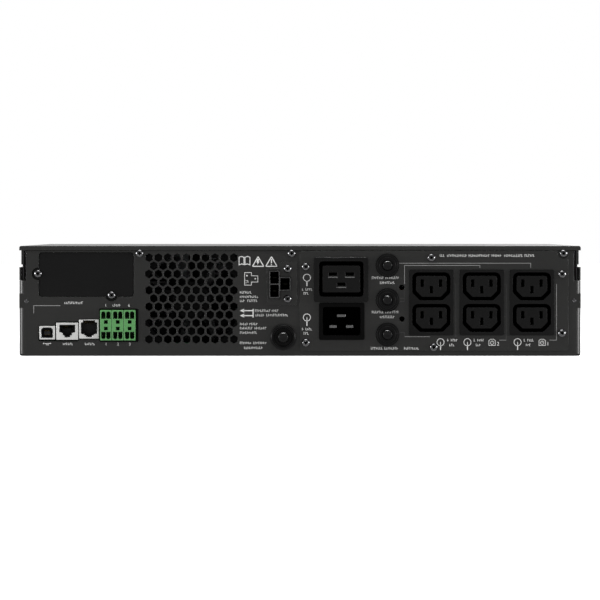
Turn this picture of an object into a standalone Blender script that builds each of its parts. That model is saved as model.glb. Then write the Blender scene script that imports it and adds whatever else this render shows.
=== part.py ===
"""Rackmount UPS, two rack units high, as separate solids, one object for each physical piece.

The connector side (rear) faces -Y, the front bezel faces +Y and +Z is up. The origin is the middle
of the footprint, on the underside of the chassis. All sizes below are in millimetres, and
add_part() turns them into Blender's metres.
"""

import bmesh
import bpy
from math import cos, pi, radians, sin
from mathutils import Vector
from mathutils.geometry import delaunay_2d_cdt

# ---------------------------------------------------------------- driving dimensions, mm
WIDTH = 438.0  # body of a 19 inch unit, without ears
HEIGHT = 85.8  # two rack units
DEPTH = 600.0  # from the longest rear fitting to the front buttons
SHEET = 1.2  # steel sheet of the enclosure
WALL = 1.5  # chassis side wall
GAP = 0.3  # clearance between neighbouring pieces

FRONT = DEPTH / 2
REAR = -292.0  # outer face of the rear panel
REAR_IN = REAR + SHEET
PLATE_OUT = REAR - SHEET - GAP  # outer face of the plates screwed on the rear panel
PLATE_IN = REAR - GAP
BEZEL_BACK = 270.0
BEZEL_FACE = 299.2
HALF = WIDTH / 2

WALL_TOP = 69.3  # chassis side walls end here, below the cover's flange
PANEL_TOP = 82.0
LIP_BOTTOM = 82.3  # hem along the edges of the top cover
BEND_TOP = 58.8  # rear panel is bent round the sides up to here
BEND_RADIUS = 4.0
TAB_LOW, TAB_HIGH = 37.4, 48.7  # flat riveted tab between the two bends
BEND_DEPTH = 20.0

VENT_X, VENT_Z = -84.7, 44.8
VENT_PITCH = 7.36
VENT_HOLE = 5.93  # across flats
VENT_ROWS, VENT_COLUMNS = 11, 10

FAN_SIDE, FAN_DEPTH = 80.0, 25.0
FAN_Z = 43.2
FAN_BACK = REAR_IN + 0.5

BREAKER_X = 68.2
BREAKER_ZS = (70.6, 43.6, 16.7)
INPUT_BREAKER = (-13.1, 14.6)
C13_XS = (102.4, 141.7, 180.8)
C13_ZS = (54.25, 29.6)
C13_FLANGE = (-17.5, 16.1, 17.5, 67.3)  # low x, low z, high x, high z about the module's middle
OUTPUT_PLATE = (-0.2, 3.9, 209.2, PANEL_TOP)
OUTPUT_SCREWS = ((4.4, 69.5), (4.5, 10.3), (102.5, 76.6), (104.3, 6.8), (204.5, 63.8), (204.3, 17.7))
RELIEF = (205.6, 80.8)  # the output plate leaves this rear panel screw free
SOCKET_PLATE = (-25.8, 39.4, -2.4, 73.3)
SOCKET_NOTCH = (-16.4, 68.4)  # the plate's upper left corner is cut away from here
SOCKET_SCREWS = ((-9.7, 67.9), (-9.7, 44.4))
CARD_COVER = (-203.6, 46.4, -129.9, 80.5)
CARD_SCREWS = ((-204.4, 64.1), (-147.0, 47.3))
SCREW_HOLE = 1.75

PLUG_WIDTH = 8.95
PLUG_PITCH = 9.25
PLUG_LEFT = -155.75
PLUG_Z = (12.1, 35.8)

BAY = (-215.4, 3.4, 99.6, 82.4)  # opening of the bezel for the battery drawer
TRAY_Z = 4.0
BATTERY_BLOCK = (151.0, 94.0, 65.0)
BAY_WALL_Y = -30.0
BAY_WALL_X = 100.6

WINDOW = (112.0, 36.0, 182.0, 72.0)
POWER_BUTTON = (200.0, 54.0)
NAV_BUTTONS = (("up_button", 125.0), ("down_button", 147.0), ("enter_button", 169.0))
NAV_Z = 20.0


# ---------------------------------------------------------------- materials
def material(name, colour, roughness, metallic=0.0):
    made = bpy.data.materials.new(name)
    made.use_nodes = True
    shader = made.node_tree.nodes["Principled BSDF"]
    shader.inputs["Base Color"].default_value = (*colour, 1.0)
    shader.inputs["Roughness"].default_value = roughness
    shader.inputs["Metallic"].default_value = metallic
    return made


# ---------------------------------------------------------------- outlines in a flat plane
def rectangle(x0, z0, x1, z1):
    return [(x0, z0), (x1, z0), (x1, z1), (x0, z1)]


def grown(box, by):
    x0, z0, x1, z1 = box
    return (x0 - by, z0 - by, x1 + by, z1 + by)


def arc(x, z, radius, start, end, steps):
    """Points on an arc, with the angles in degrees from +X."""
    angles = [radians(start + (end - start) * i / steps) for i in range(steps + 1)]
    return [(x + radius * cos(a), z + radius * sin(a)) for a in angles]


def rounded(x0, z0, x1, z1, radius, steps=3):
    corners = ((x1, z0, -90), (x1, z1, 0), (x0, z1, 90), (x0, z0, 180))
    points = []
    for x, z, start in corners:
        centre_x = x - radius if x == x1 else x + radius
        centre_z = z - radius if z == z1 else z + radius
        points += arc(centre_x, centre_z, radius, start, start + 90, steps)
    return points


def circle(x, z, radius, steps=16):
    return arc(x, z, radius, 0, 360 - 360 / steps, steps - 1)


def hexagon(x, z, across_flats):
    return arc(x, z, across_flats / 3**0.5, 30, 330, 5)


def keyed(x, z, width, height, low_cut, high_cut):
    """A rectangle with its lower corners cut by low_cut and its upper ones by high_cut."""
    right, top = width / 2, height / 2
    half = [
        (right - low_cut, -top),
        (right, low_cut - top),
        (right, top - high_cut),
        (right - high_cut, top),
    ]
    other = [(-u, v) for u, v in reversed(half)]
    return [(x + u, z + v) for u, v in half + other]


# ---------------------------------------------------------------- solids
TRIANGLES_WITHOUT_HOLES = 2  # what delaunay_2d_cdt gives back
AXES = {
    "X": lambda u, v, w: (w, u, v),
    "Y": lambda u, v, w: (u, w, v),
    "Z": lambda u, v, w: (u, v, w),
}


def solid(bm):
    """A mesh object in metres, from a bmesh in millimetres."""
    bmesh.ops.recalc_face_normals(bm, faces=bm.faces)
    bmesh.ops.scale(bm, vec=(0.001, 0.001, 0.001), verts=bm.verts)
    mesh = bpy.data.meshes.new("solid")
    bm.to_mesh(mesh)
    bm.free()
    made = bpy.data.objects.new("solid", mesh)
    bpy.context.scene.collection.objects.link(made)
    return made


def prism(outline, low, high, holes=(), axis="Y"):
    """An outline with holes, pushed out along an axis from low to high."""
    flat = [Vector(point) for loop in (outline, *holes) for point in loop]
    rims = []
    for loop in (outline, *holes):
        start = rims[-1][-1] + 1 if rims else 0
        rims.append(list(range(start, start + len(loop))))
    filled = delaunay_2d_cdt(flat, [], rims, TRIANGLES_WITHOUT_HOLES, 1e-6)
    place = AXES[axis]
    bm = bmesh.new()
    near = [bm.verts.new(place(u, v, low)) for u, v in filled[0]]
    faces = [bm.faces.new([near[i] for i in corners]) for corners in filled[2]]
    pushed = bmesh.ops.extrude_face_region(bm, geom=faces)["geom"]
    far = [item for item in pushed if isinstance(item, bmesh.types.BMVert)]
    bmesh.ops.translate(bm, vec=Vector(place(0, 0, high - low)), verts=far)
    return solid(bm)


def box(x0, y0, z0, x1, y1, z1):
    return prism(rectangle(x0, z0, x1, z1), y0, y1)


def turned(profile, x, z, steps=24):
    """A profile of (radius, y) points turned about an axis along Y. Its two ends lie on the axis."""
    bm = bmesh.new()
    rings = []
    for radius, y in profile:
        if radius == 0:
            rings.append([bm.verts.new((x, y, z))] * steps)
        else:
            rings.append([bm.verts.new((u, y, v)) for u, v in circle(x, z, radius, steps)])
    for one, other in zip(rings, rings[1:]):
        for i in range(steps):
            j = (i + 1) % steps
            corners = [one[i], one[j], other[j], other[i]]
            bm.faces.new(list(dict.fromkeys(corners)))
    return solid(bm)


def combine(body, other, operation):
    """Joins or cuts body with other, and removes other."""
    modifier = body.modifiers.new(operation, "BOOLEAN")
    modifier.operation = operation
    modifier.object = other
    graph = bpy.context.evaluated_depsgraph_get()
    result = bpy.data.meshes.new_from_object(body.evaluated_get(graph))
    body.modifiers.clear()
    old = body.data
    body.data = result
    bpy.data.meshes.remove(old)
    bpy.data.objects.remove(other)
    return body


def join(body, *others):
    for other in others:
        combine(body, other, "UNION")
    return body


def cut(body, *others):
    for other in others:
        combine(body, other, "DIFFERENCE")
    return body


def add_part(name, body, finish, origin=(0, 0, 0)):
    """Names a solid, gives it its material and puts its origin at a point in millimetres."""
    point = Vector(origin) * 0.001
    for vertex in body.data.vertices:
        vertex.co -= point
    body.location = point
    body.name = name
    body.data.name = name
    body.data.materials.clear()
    body.data.materials.append(finish)
    body.data.shade_smooth()
    body.data.set_sharp_from_angle(angle=radians(35))
    return body


# ---------------------------------------------------------------- enclosure
def chassis_base():
    corner = 2.0
    outline = arc(corner - HALF, corner, corner, 180, 270, 3)
    outline += arc(HALF - corner, corner, corner, 270, 360, 3)
    outline += [(HALF, WALL_TOP), (HALF - WALL, WALL_TOP), (HALF - WALL, SHEET)]
    outline += [(WALL - HALF, SHEET), (WALL - HALF, WALL_TOP), (-HALF, WALL_TOP)]
    body = prism(outline, REAR_IN + GAP, BEZEL_BACK - GAP)
    for side in (-1, 1):
        inner, outer = sorted((side * (HALF - 3), side * (HALF + 1)))
        for low, high in ((SHEET + 0.15, TAB_LOW + GAP), (TAB_HIGH - GAP, BEND_TOP + GAP)):
            cut(body, box(inner, REAR - 1, low, outer, REAR + BEND_DEPTH, high))
        rail_holes = [circle(y, z, 2.2, 12) for y in (230, 255) for z in (18, 50)]
        rail_holes += [circle(y, 34, 2.2, 12) for y in (-230, -60, 110)]
        for hole in rail_holes:
            cut(body, prism(hole, inner, outer, axis="X"))
    return add_part("chassis_base", body, STEEL)


def top_cover():
    edge = 1.5
    crown = arc(HALF - edge, HEIGHT - edge, edge, 0, 90, 3)
    crown += arc(edge - HALF, HEIGHT - edge, edge, 90, 180, 3)
    inside, joggle, flange = 215.2, 216.6, 217.6
    step, bottom, ceiling = 71.3, 52.0, HEIGHT - SHEET
    half = [(flange, LIP_BOTTOM), (flange, step), (joggle, step), (joggle, bottom)]
    half += [(inside, bottom), (inside, ceiling)]
    left = [(-x, z) for x, z in half]
    right = list(reversed(half))
    outline = crown + [(-HALF, LIP_BOTTOM), *left, *right, (HALF, LIP_BOTTOM)]
    body = prism(outline, REAR + BEND_RADIUS, BEZEL_BACK - GAP)
    hem = prism([*crown, (-HALF, LIP_BOTTOM), (HALF, LIP_BOTTOM)], REAR - 0.8, REAR + 1)
    roof_edge = HEIGHT - edge
    roof = [*crown, (-HALF, roof_edge - 0.1), (edge - HALF, ceiling), (HALF - edge, ceiling), (HALF, roof_edge - 0.1)]
    join(body, prism(roof, REAR, REAR + BEND_RADIUS + 1), hem)
    return add_part("top_cover", body, STEEL)


def side_bend(side, low, high):
    """The rear panel's sheet bent forwards round one side, between two heights."""
    middle = HALF - BEND_RADIUS
    turn = REAR + BEND_RADIUS
    outer = arc(middle, turn, BEND_RADIUS, 270, 360, 6)
    inner = arc(middle, turn, BEND_RADIUS - SHEET, 360, 270, 6)
    end = REAR + BEND_DEPTH - GAP
    outline = [(middle - 1, REAR), *outer, (HALF, end), (HALF - SHEET, end), *inner]
    outline.append((middle - 1, REAR_IN))
    return prism([(side * x, y) for x, y in outline], low, high, axis="Z")


def vent_holes():
    row_pitch = VENT_PITCH * 3**0.5 / 2
    holes = []
    for row in range(VENT_ROWS):
        count = VENT_COLUMNS - row % 2
        z = VENT_Z + (VENT_ROWS - 1) / 2 * row_pitch - row * row_pitch
        for column in range(count):
            x = VENT_X + (column - (count - 1) / 2) * VENT_PITCH
            holes.append(hexagon(x, z, VENT_HOLE))
    return holes


def port_opening():
    """The stepped opening that the communication ports and the terminal header share."""
    tops = ((-203.9, -190.75, 23.9), (-190.75, -172.6, 26.8), (-172.6, -156.5, 28.75), (-156.5, -126.1, 36.9))
    bottoms = (11.5, 11.3, 12.9, 11.0)
    upper = [(x, top) for x0, x1, top in tops for x in (x0, x1)]
    lower = [(x, low) for (x0, x1, _), low in zip(tops, bottoms) for x in (x0, x1)]
    return upper + lower[::-1]


def output_opening():
    """The opening behind the output plate, with a tab left for the screw at its top."""
    low_x, low_z, high_x, high_z = 9.0, 10.5, 198.6, 79.6
    tab_left, tab_right, tab_z = 97.5, 107.5, 71.5
    return [
        (low_x, low_z),
        (high_x, low_z),
        (high_x, high_z),
        (tab_right, high_z),
        (tab_right, tab_z),
        (tab_left, tab_z),
        (tab_left, high_z),
        (low_x, high_z),
    ]


def socket_outline(by):
    """Three battery contacts: two above each other and one beside them, grown outwards."""
    left, middle, right = -23.8 - by, -16.0 + by, -7.5 + by
    return [
        (left, 45.2 - by),
        (middle, 45.2 - by),
        (middle, 51.1 - by),
        (right, 51.1 - by),
        (right, 61.2 + by),
        (middle, 61.2 + by),
        (middle, 66.3 + by),
        (left, 66.3 + by),
    ]


def card_shape(by, low, high):
    """The slot cover with its two screw ears, grown outwards."""
    body = prism(rounded(*grown(CARD_COVER, by), 2.3), low, high)
    ears = [prism(circle(x, z, 4.5 + by, 20), low, high) for x, z in CARD_SCREWS]
    return join(body, *ears)


def rear_panel():
    shoulder = 213.8
    flat = HALF - BEND_RADIUS
    half = [(flat, 0), (flat, TAB_LOW), (HALF, TAB_LOW), (HALF, TAB_HIGH), (flat, TAB_HIGH)]
    half += [(flat, BEND_TOP), (shoulder, BEND_TOP), (shoulder, PANEL_TOP)]
    outline = half + [(-x, z) for x, z in reversed(half)]
    holes = [*vent_holes(), port_opening(), output_opening(), socket_outline(0.7)]
    holes.append(circle(*INPUT_BREAKER, 6.3, 24))
    holes += [circle(x, z, SCREW_HOLE, 10) for x, z in OUTPUT_SCREWS]
    body = prism(outline, REAR, REAR_IN, holes)
    for side in (-1, 1):
        join(body, side_bend(side, SHEET + GAP, TAB_LOW), side_bend(side, TAB_HIGH, BEND_TOP))
    cut(body, card_shape(GAP, REAR - 1, REAR_IN + 1))
    return add_part("rear_panel", body, STEEL)


def card_slot_cover():
    recess = 0.5
    body = card_shape(0, REAR + recess, REAR_IN + recess)
    return add_part("card_slot_cover", body, DARK_STEEL)


def output_panel():
    holes = [rounded(*grown(c13_body_box(x), GAP), 1) for x in C13_XS]
    holes += [rectangle(*grown(C19_BODY, GAP)), rectangle(*grown(C20_BODY, GAP))]
    holes += [circle(BREAKER_X, z, 6.1, 20) for z in BREAKER_ZS]
    holes += [circle(79.3, 53.4, 2.2, 12), circle(79.5, 28.8, 2.2, 12)]
    holes += [circle(x, z, SCREW_HOLE, 10) for x, z in OUTPUT_SCREWS]
    body = prism(rounded(*OUTPUT_PLATE, 2.3), PLATE_OUT, PLATE_IN, holes)
    cut(body, prism(circle(*RELIEF, 5.0, 20), PLATE_OUT - 1, PLATE_IN + 1))
    return add_part("output_panel", body, STEEL)


def battery_socket_plate():
    holes = [socket_outline(GAP), *(circle(x, z, SCREW_HOLE, 10) for x, z in SOCKET_SCREWS)]
    left, low, right, top = SOCKET_PLATE
    notch_x, notch_z = SOCKET_NOTCH
    outline = [(left, low), (right, low), (right, top), (notch_x, top), (notch_x, notch_z), (left, notch_z)]
    body = prism(outline, PLATE_OUT, PLATE_IN, holes)
    return add_part("battery_socket_plate", body, STEEL)


def battery_bay_wall():
    """One bent sheet that parts the battery bay from the electronics and the display side."""
    back, side, front = BAY_WALL_Y, BAY_WALL_X, BEZEL_BACK - 2
    outline = [(-214.8, back), (side + SHEET, back), (side + SHEET, front), (side, front)]
    outline += [(side, back + SHEET), (-214.8, back + SHEET)]
    body = prism(outline, SHEET + GAP, HEIGHT - SHEET - GAP, axis="Z")
    cut(body, prism(rounded(40, 25, 80, 60, 4), back - 1, back + SHEET + 1))
    return add_part("battery_bay_wall", body, ZINC)


# ---------------------------------------------------------------- power outlets, inlet, breakers
C19_FLANGE = (10.7, 42.0, 53.4, 76.0)
C19_BODY = (12.9, 43.8, 51.2, 74.4)
C19_MIDDLE = (32.25, 60.0)
C20_FLANGE = (14.8, 12.5, 50.3, 41.4)
C20_BODY = (15.9, 14.2, 48.9, 40.0)
C20_CAVITY = (17.7, 16.0, 47.2, 38.2)
C20_PINS = (("c20_pin_earth", 32.3, 31.4, 3.4), ("c20_pin_line", 25.8, 22.9, 2.8), ("c20_pin_neutral", 38.8, 22.9, 2.8))


def c13_body_box(x):
    low_x, low_z, high_x, high_z = C13_FLANGE
    inset = 1.5
    return (x + low_x + inset, low_z + inset, x + high_x - inset, high_z - inset)


def outlet_groove(x, z, outer, inner, cuts, face, depth):
    """The cutter for the groove round an outlet's core, where the plug's shroud goes."""
    outside = keyed(x, z, *outer, *cuts)
    low_cut, high_cut = cuts
    inside = keyed(x, z, *inner, low_cut * 0.85, high_cut * 0.6)
    return prism(outside, face - 1, face + depth, [inside])


def c13_outlets(number, x):
    face = PLATE_OUT - 1.5
    flange = (x + C13_FLANGE[0], C13_FLANGE[1], x + C13_FLANGE[2], C13_FLANGE[3])
    body = prism(rounded(*flange, 1.5), face, PLATE_OUT - GAP)
    join(body, prism(rectangle(*c13_body_box(x)), PLATE_OUT - 2 * GAP, face + 28))
    for z in C13_ZS:
        cut(body, outlet_groove(x, z, (29.9, 21.5), (24.0, 16.4), (5.5, 1.6), face, 15))
        slots = [(x - 7.15, z + 2.5, 1.15, 2.75), (x + 7.15, z + 2.5, 1.15, 2.75), (x, z - 2.6, 1.15, 2.75)]
        for slot_x, slot_z, half_x, half_z in slots:
            opening = (slot_x - half_x, slot_z - half_z, slot_x + half_x, slot_z + half_z)
            cut(body, prism(rectangle(*opening), face - 1, face + 14))
    return add_part(f"c13_outlets_{number}", body, BLACK_PLASTIC)


def c19_outlet():
    face = PLATE_OUT - 2.3
    x, z = C19_MIDDLE
    body = prism(rounded(*C19_FLANGE, 2), face, PLATE_OUT - GAP)
    join(body, prism(rectangle(*C19_BODY), PLATE_OUT - 2 * GAP, face + 32))
    cut(body, outlet_groove(x, z, (34.9, 27.7), (29.2, 20.7), (1.8, 1.8), face, 17))
    for slot_x, slot_z in ((x - 6.6, z + 3.9), (x + 6.6, z + 3.9), (x, z - 4.0)):
        opening = (slot_x - 3.1, slot_z - 1.25, slot_x + 3.1, slot_z + 1.25)
        cut(body, prism(rectangle(*opening), face - 1, face + 16))
    return add_part("c19_outlet", body, BLACK_PLASTIC)


def c20_inlet():
    face = PLATE_OUT - 1.8
    floor = face + 20
    body = prism(rounded(*C20_FLANGE, 1.5), face, PLATE_OUT - GAP)
    join(body, prism(rectangle(*C20_BODY), PLATE_OUT - 2 * GAP, floor + 6))
    cut(body, prism(rounded(*C20_CAVITY, 2), face - 1, floor))
    for name, x, z, half in C20_PINS:
        slot = grown((x - half, z - 1, x + half, z + 1), GAP)
        cut(body, prism(rectangle(*slot), floor - 1, floor + 7))
        pin = prism(keyed(x, z, 2 * half, 2, 0.4, 0.4), face + 3, floor + 14)
        add_part(name, pin, NICKEL)
    return add_part("c20_inlet", body, BLACK_PLASTIC)


def breaker(number, x, z):
    """An output breaker: a stepped round collar, a neck through the plate and a box behind it."""
    base = PLATE_OUT - GAP
    collar = [(0, base - 3.2), (6.3, base - 3.2), (6.3, base - 2.4), (8.2, base - 2.4)]
    collar += [(8.2, base - 1.2), (9.3, base - 1.2), (9.3, base), (5.8, base), (5.8, base + 4), (0, base + 4)]
    body = turned(collar, x, z)
    join(body, box(x - 8, PLATE_IN + GAP, z - 5.2, x + 8, base + 32, z + 5.2))
    cut(body, turned([(0, base - 4), (3.9, base - 4), (3.9, base + 14), (0, base + 14)], x, z))
    add_part(f"breaker_body_{number}", body, BLACK_PLASTIC)
    end = base - 5.4
    button = turned([(0, end), (3.0, end), (3.6, end + 0.7), (3.6, base + 10), (0, base + 10)], x, z, 20)
    add_part(f"breaker_button_{number}", button, BLACK_PLASTIC, (x, base, z))


def input_breaker():
    x, z = INPUT_BREAKER
    base = REAR - GAP
    face = base - 4.6
    collar = [(0, face), (9.0, face), (10.1, face + 1.2), (10.1, base), (6.0, base), (6.0, base + 3), (0, base + 3)]
    body = turned(collar, x, z, 28)
    join(body, box(x - 10.5, REAR_IN + GAP, z - 10.5, x + 10.5, REAR + 36, z + 10.5))
    bore = [(0, face - 1), (7.5, face - 1), (7.5, face + 2.6), (4.2, face + 2.6), (4.2, base + 14), (0, base + 14)]
    cut(body, turned(bore, x, z, 28))
    add_part("input_breaker_body", body, BLACK_PLASTIC)
    end = -DEPTH / 2
    profile = [(0, end), (3.2, end), (3.9, end + 0.8), (3.9, base + 10), (0, base + 10)]
    add_part("input_breaker_button", turned(profile, x, z, 20), BLACK_PLASTIC, (x, base, z))


def screw(name, x, z):
    """A pan head screw through the output plate into the rear panel."""
    under = PLATE_OUT - GAP
    head = [(0, under - 2.1), (1.6, under - 2.0), (2.6, under - 1.4), (3.1, under - 0.5), (3.1, under)]
    shank = [(1.45, under), (1.45, under + 6), (0, under + 6)]
    return add_part(name, turned(head + shank, x, z, 12), NICKEL)


# ---------------------------------------------------------------- battery socket and ports
def battery_socket():
    face = PLATE_OUT - 4.0
    body = prism(socket_outline(0), face, face + 24)
    for cavity in ((-23.2, 56.6, -16.6, 65.7), (-23.2, 45.8, -16.6, 55.0), (-15.0, 51.7, -8.1, 60.6)):
        cut(body, prism(rectangle(*cavity), face - 1, face + 14))
    return add_part("battery_socket", body, BLACK_PLASTIC)


def usb_port():
    body = box(-203.6, REAR - 1.0, 11.9, -190.9, REAR + 16, 23.5)
    opening = keyed(-197.3, 17.9, 8.5, 7.8, 0.3, 1.6)
    cut(body, prism(opening, REAR - 2, REAR + 10))
    return add_part("usb_port", body, NICKEL)


def jack_opening(steps):
    """A jack's outline from (half width, height) pairs, taken from the top down."""
    right = [point for top, bottom, half in steps for point in ((half, top), (half, bottom))]
    return right + [(-x, z) for x, z in reversed(right)]


def rs485_jack():
    body = box(-190.6, REAR - 1.0, 11.7, -172.8, REAR + 16, 26.5)
    steps = ((23.7, 17.6, 5.95), (17.6, 15.9, 3.1), (15.9, 14.4, 1.9))
    opening = [(x - 181.5, z) for x, z in jack_opening(steps)]
    cut(body, prism(opening, REAR - 2, REAR + 12))
    return add_part("rs485_jack", body, NICKEL)


def rs232_jack():
    body = box(-172.5, REAR - 1.0, 13.3, -156.7, REAR + 16, 28.4)
    steps = ((27.7, 25.9, 4.5), (25.9, 16.5, 6.15), (16.5, 14.9, 2.3))
    opening = [(x - 164.5, z) for x, z in jack_opening(steps)]
    cut(body, prism(opening, REAR - 2, REAR + 12))
    return add_part("rs232_jack", body, NICKEL)


def terminal_header():
    body = box(-156.3, REAR - 0.6, 11.3, -126.5, REAR + 20, 36.6)
    cavity = (PLUG_LEFT - GAP, PLUG_Z[0] - GAP, PLUG_LEFT + 3 * PLUG_PITCH, PLUG_Z[1] + GAP)
    cut(body, prism(rectangle(*cavity), REAR - 2, REAR + 14))
    return add_part("terminal_header", body, BLACK_PLASTIC)


def terminal_plug(number):
    """A two-row plug: two wire entries and a release hole above, and the same below."""
    left = PLUG_LEFT + (number - 1) * PLUG_PITCH
    middle = left + PLUG_WIDTH / 2
    low, high = PLUG_Z
    face = REAR - 5.0
    body = box(left, face, low, left + PLUG_WIDTH, REAR + 13, high)
    for x in (middle - 2.0, middle + 2.0):
        cut(body, prism(keyed(x, high - 3.9, 3.1, 5.0, 0.1, 1.0), face - 1, face + 9))
        cut(body, prism(keyed(x, low + 3.9, 3.1, 5.0, 1.0, 0.1), face - 1, face + 9))
    for z in (high - 9.3, low + 9.3):
        cut(body, box(middle - 1.4, face - 1, z - 1.3, middle + 1.4, face + 7, z + 1.3))
    return add_part(f"terminal_plug_{number}", body, GREEN_PLASTIC, (middle, REAR, (low + high) / 2))


def comm_board():
    back = REAR + 20 + GAP
    return add_part("comm_board", box(-206, back, 6, -127, back + 1.6, 44), BOARD)


# ---------------------------------------------------------------- fan and power electronics
def fan_frame():
    half = FAN_SIDE / 2
    outline = rounded(VENT_X - half, FAN_Z - half, VENT_X + half, FAN_Z + half, 4)
    holes = [circle(VENT_X, FAN_Z, 38.2, 32)]
    holes += [circle(VENT_X + x, FAN_Z + z, 2.1, 10) for x in (-35.7, 35.7) for z in (-35.7, 35.7)]
    body = prism(outline, FAN_BACK, FAN_BACK + FAN_DEPTH, holes)
    inner = FAN_BACK + FAN_DEPTH
    join(body, box(VENT_X - 39, inner - 3, FAN_Z - 2, VENT_X + 39, inner - 0.5, FAN_Z + 2))
    join(body, box(VENT_X - 2, inner - 3.2, FAN_Z - 39, VENT_X + 2, inner - 0.7, FAN_Z + 39))
    hub = [(0, inner - 3.6), (15, inner - 3.6), (15, inner), (0, inner)]
    join(body, turned(hub, VENT_X, FAN_Z))
    return add_part("fan_frame", body, BLACK_PLASTIC)


def fan_rotor():
    near, far = FAN_BACK + 1.5, FAN_BACK + FAN_DEPTH - 5.0
    blades, hub, tip = 7, 15.0, 36.5
    hub_profile = [(0, near), (hub - 1.5, near), (hub, near + 1.5), (hub, far), (0, far)]
    body = turned(hub_profile, VENT_X, FAN_Z, 28)
    for blade in range(blades):
        start = 2 * pi * blade / blades
        bm = bmesh.new()
        rows = []
        for radius in (hub - 2, (hub + tip) / 2, tip):
            lead = 0.10 + 0.16 * (radius - hub) / (tip - hub)
            section = []
            for turn, y in ((lead, near + 2), (lead + 0.55, far - 1)):
                angle = start + turn
                for side in (-1, 1):
                    point = (VENT_X + radius * cos(angle), y + 0.8 * side, FAN_Z + radius * sin(angle))
                    section.append(bm.verts.new(point))
            a, b, c, d = section
            rows.append((a, b, d, c))
        for one, other in zip(rows, rows[1:]):
            for i in range(4):
                j = (i + 1) % 4
                bm.faces.new((one[i], one[j], other[j], other[i]))
        bm.faces.new(rows[0][::-1])
        bm.faces.new(rows[-1])
        bmesh.ops.triangulate(bm, faces=bm.faces)
        join(body, solid(bm))
    return add_part("fan_rotor", body, BLACK_PLASTIC, (VENT_X, near, FAN_Z))


def heatsink(number, left):
    """An extruded heatsink standing on the board, its fins along the air stream."""
    base, fin, pitch, fins = 5.0, 1.8, 7.0, 8
    low, right = 11.0, left + 26
    outline = [(left, low), (left + base, low)]
    for index in range(fins):
        z = low + 3 + index * pitch
        outline += [(left + base, z), (right, z), (right, z + fin), (left + base, z + fin)]
    outline += [(left + base, low + 60), (left, low + 60)]
    return add_part(f"heatsink_{number}", prism(outline, -245, -95), ALUMINIUM)


def transformer():
    body = prism(rounded(30, 11, 92, 63, 3), -190, -136)
    winding = prism(rounded(38, 18, 84, 56, 8), -204, -122)
    return add_part("transformer", join(body, winding), FERRITE)


def capacitor():
    outline = circle(150, -160, 17.5, 24)
    return add_part("capacitor", prism(outline, 11, 66, axis="Z"), SLEEVE)


def main_board():
    return add_part("main_board", box(-206, -252, 8, 206, -40, 9.6), BOARD)


# ---------------------------------------------------------------- battery drawer
def battery_tray():
    left, right = BAY[0] + 1.4, BAY[2] - 1.2
    back, front = BAY_WALL_Y + 3, BEZEL_BACK - 4
    body = box(left, back, TRAY_Z, right, front, 34)
    cut(body, box(left + SHEET, back + SHEET, TRAY_Z + SHEET, right - SHEET, front - SHEET, 35))
    join(body, box(left, front - SHEET, TRAY_Z + 1, right, front, 80))
    middle = (left + right) / 2
    legs, end, bar = front - SHEET / 2, front + 20, 6
    handle = [(middle - 42, legs), (middle - 42, end), (middle + 42, end), (middle + 42, legs)]
    handle += [(middle + 42 - bar, legs), (middle + 42 - bar, end - bar)]
    handle += [(middle - 42 + bar, end - bar), (middle - 42 + bar, legs)]
    join(body, prism(handle, 56, 62, axis="Z"))
    return add_part("battery_tray", body, ZINC, (middle, front, TRAY_Z))


def battery_blocks():
    width, length, height = BATTERY_BLOCK
    left, back = BAY[0] + 4.6, BAY_WALL_Y + 6.2
    for index in range(6):
        column, row = index % 2, index // 2
        x = left + column * (width + 2.0)
        y = back + row * (length + 2.0)
        z = TRAY_Z + SHEET + GAP
        outline = rounded(x, z, x + width, z + height, 1.5, 1)
        add_part(f"battery_block_{index + 1}", prism(outline, y, y + length), BATTERY_CASE)


# ---------------------------------------------------------------- front
def front_bezel():
    depth_wall = 3.0
    inner_face = BEZEL_FACE - depth_wall
    body = prism(rounded(-HALF, 0, HALF, HEIGHT, 1.5), BEZEL_BACK, BEZEL_FACE)
    cut(body, prism(rectangle(*BAY), BEZEL_BACK - 1, BEZEL_FACE + 1))
    cut(body, box(BAY[2] + 3, BEZEL_BACK - 1, BAY[1], HALF - 3.4, inner_face, BAY[3]))
    cut(body, prism(rounded(*grown(WINDOW, GAP), 2), BEZEL_FACE - 2, BEZEL_FACE + 1))
    cut(body, prism(rounded(*grown(WINDOW, -3), 1), inner_face - 1, BEZEL_FACE - 1))
    cut(body, prism(circle(*POWER_BUTTON, 6.5, 24), inner_face - 1, BEZEL_FACE + 1))
    for _, x in NAV_BUTTONS:
        cut(body, prism(rounded(x - 6.3, NAV_Z - 3.3, x + 6.3, NAV_Z + 3.3, 3), inner_face - 1, BEZEL_FACE + 1))
    return add_part("front_bezel", body, BEZEL_PLASTIC)


def battery_cover():
    """The removable front cover of the battery bay, with rows of air slots."""
    x0, z0, x1, z1 = grown(BAY, -0.4)
    face = BEZEL_FACE - 0.2
    body = prism(rounded(x0, z0, x1, z1, 1.5), BEZEL_BACK + 5, face)
    cut(body, box(x0 + 2.5, BEZEL_BACK + 4, z0 + 2.5, x1 - 2.5, face - 3, z1 - 2.5))
    columns, rows = 4, 7
    pitch_x, pitch_z = (x1 - x0 - 20) / columns, 9.4
    for column in range(columns):
        for row in range(rows):
            left = x0 + 14 + column * pitch_x
            z = z0 + 11.5 + row * pitch_z
            cut(body, box(left, face - 4, z - 1.6, left + pitch_x - 8, face + 1, z + 1.6))
    return add_part("battery_cover", body, BEZEL_PLASTIC, ((x0 + x1) / 2, face, (z0 + z1) / 2))


def display():
    window = prism(rounded(*WINDOW, 1.8), BEZEL_FACE - 1.7, BEZEL_FACE - 0.1)
    add_part("display_window", window, SCREEN)
    board = box(106, 288, 8, 212, 289.6, 78)
    add_part("display_board", board, BOARD)


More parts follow.
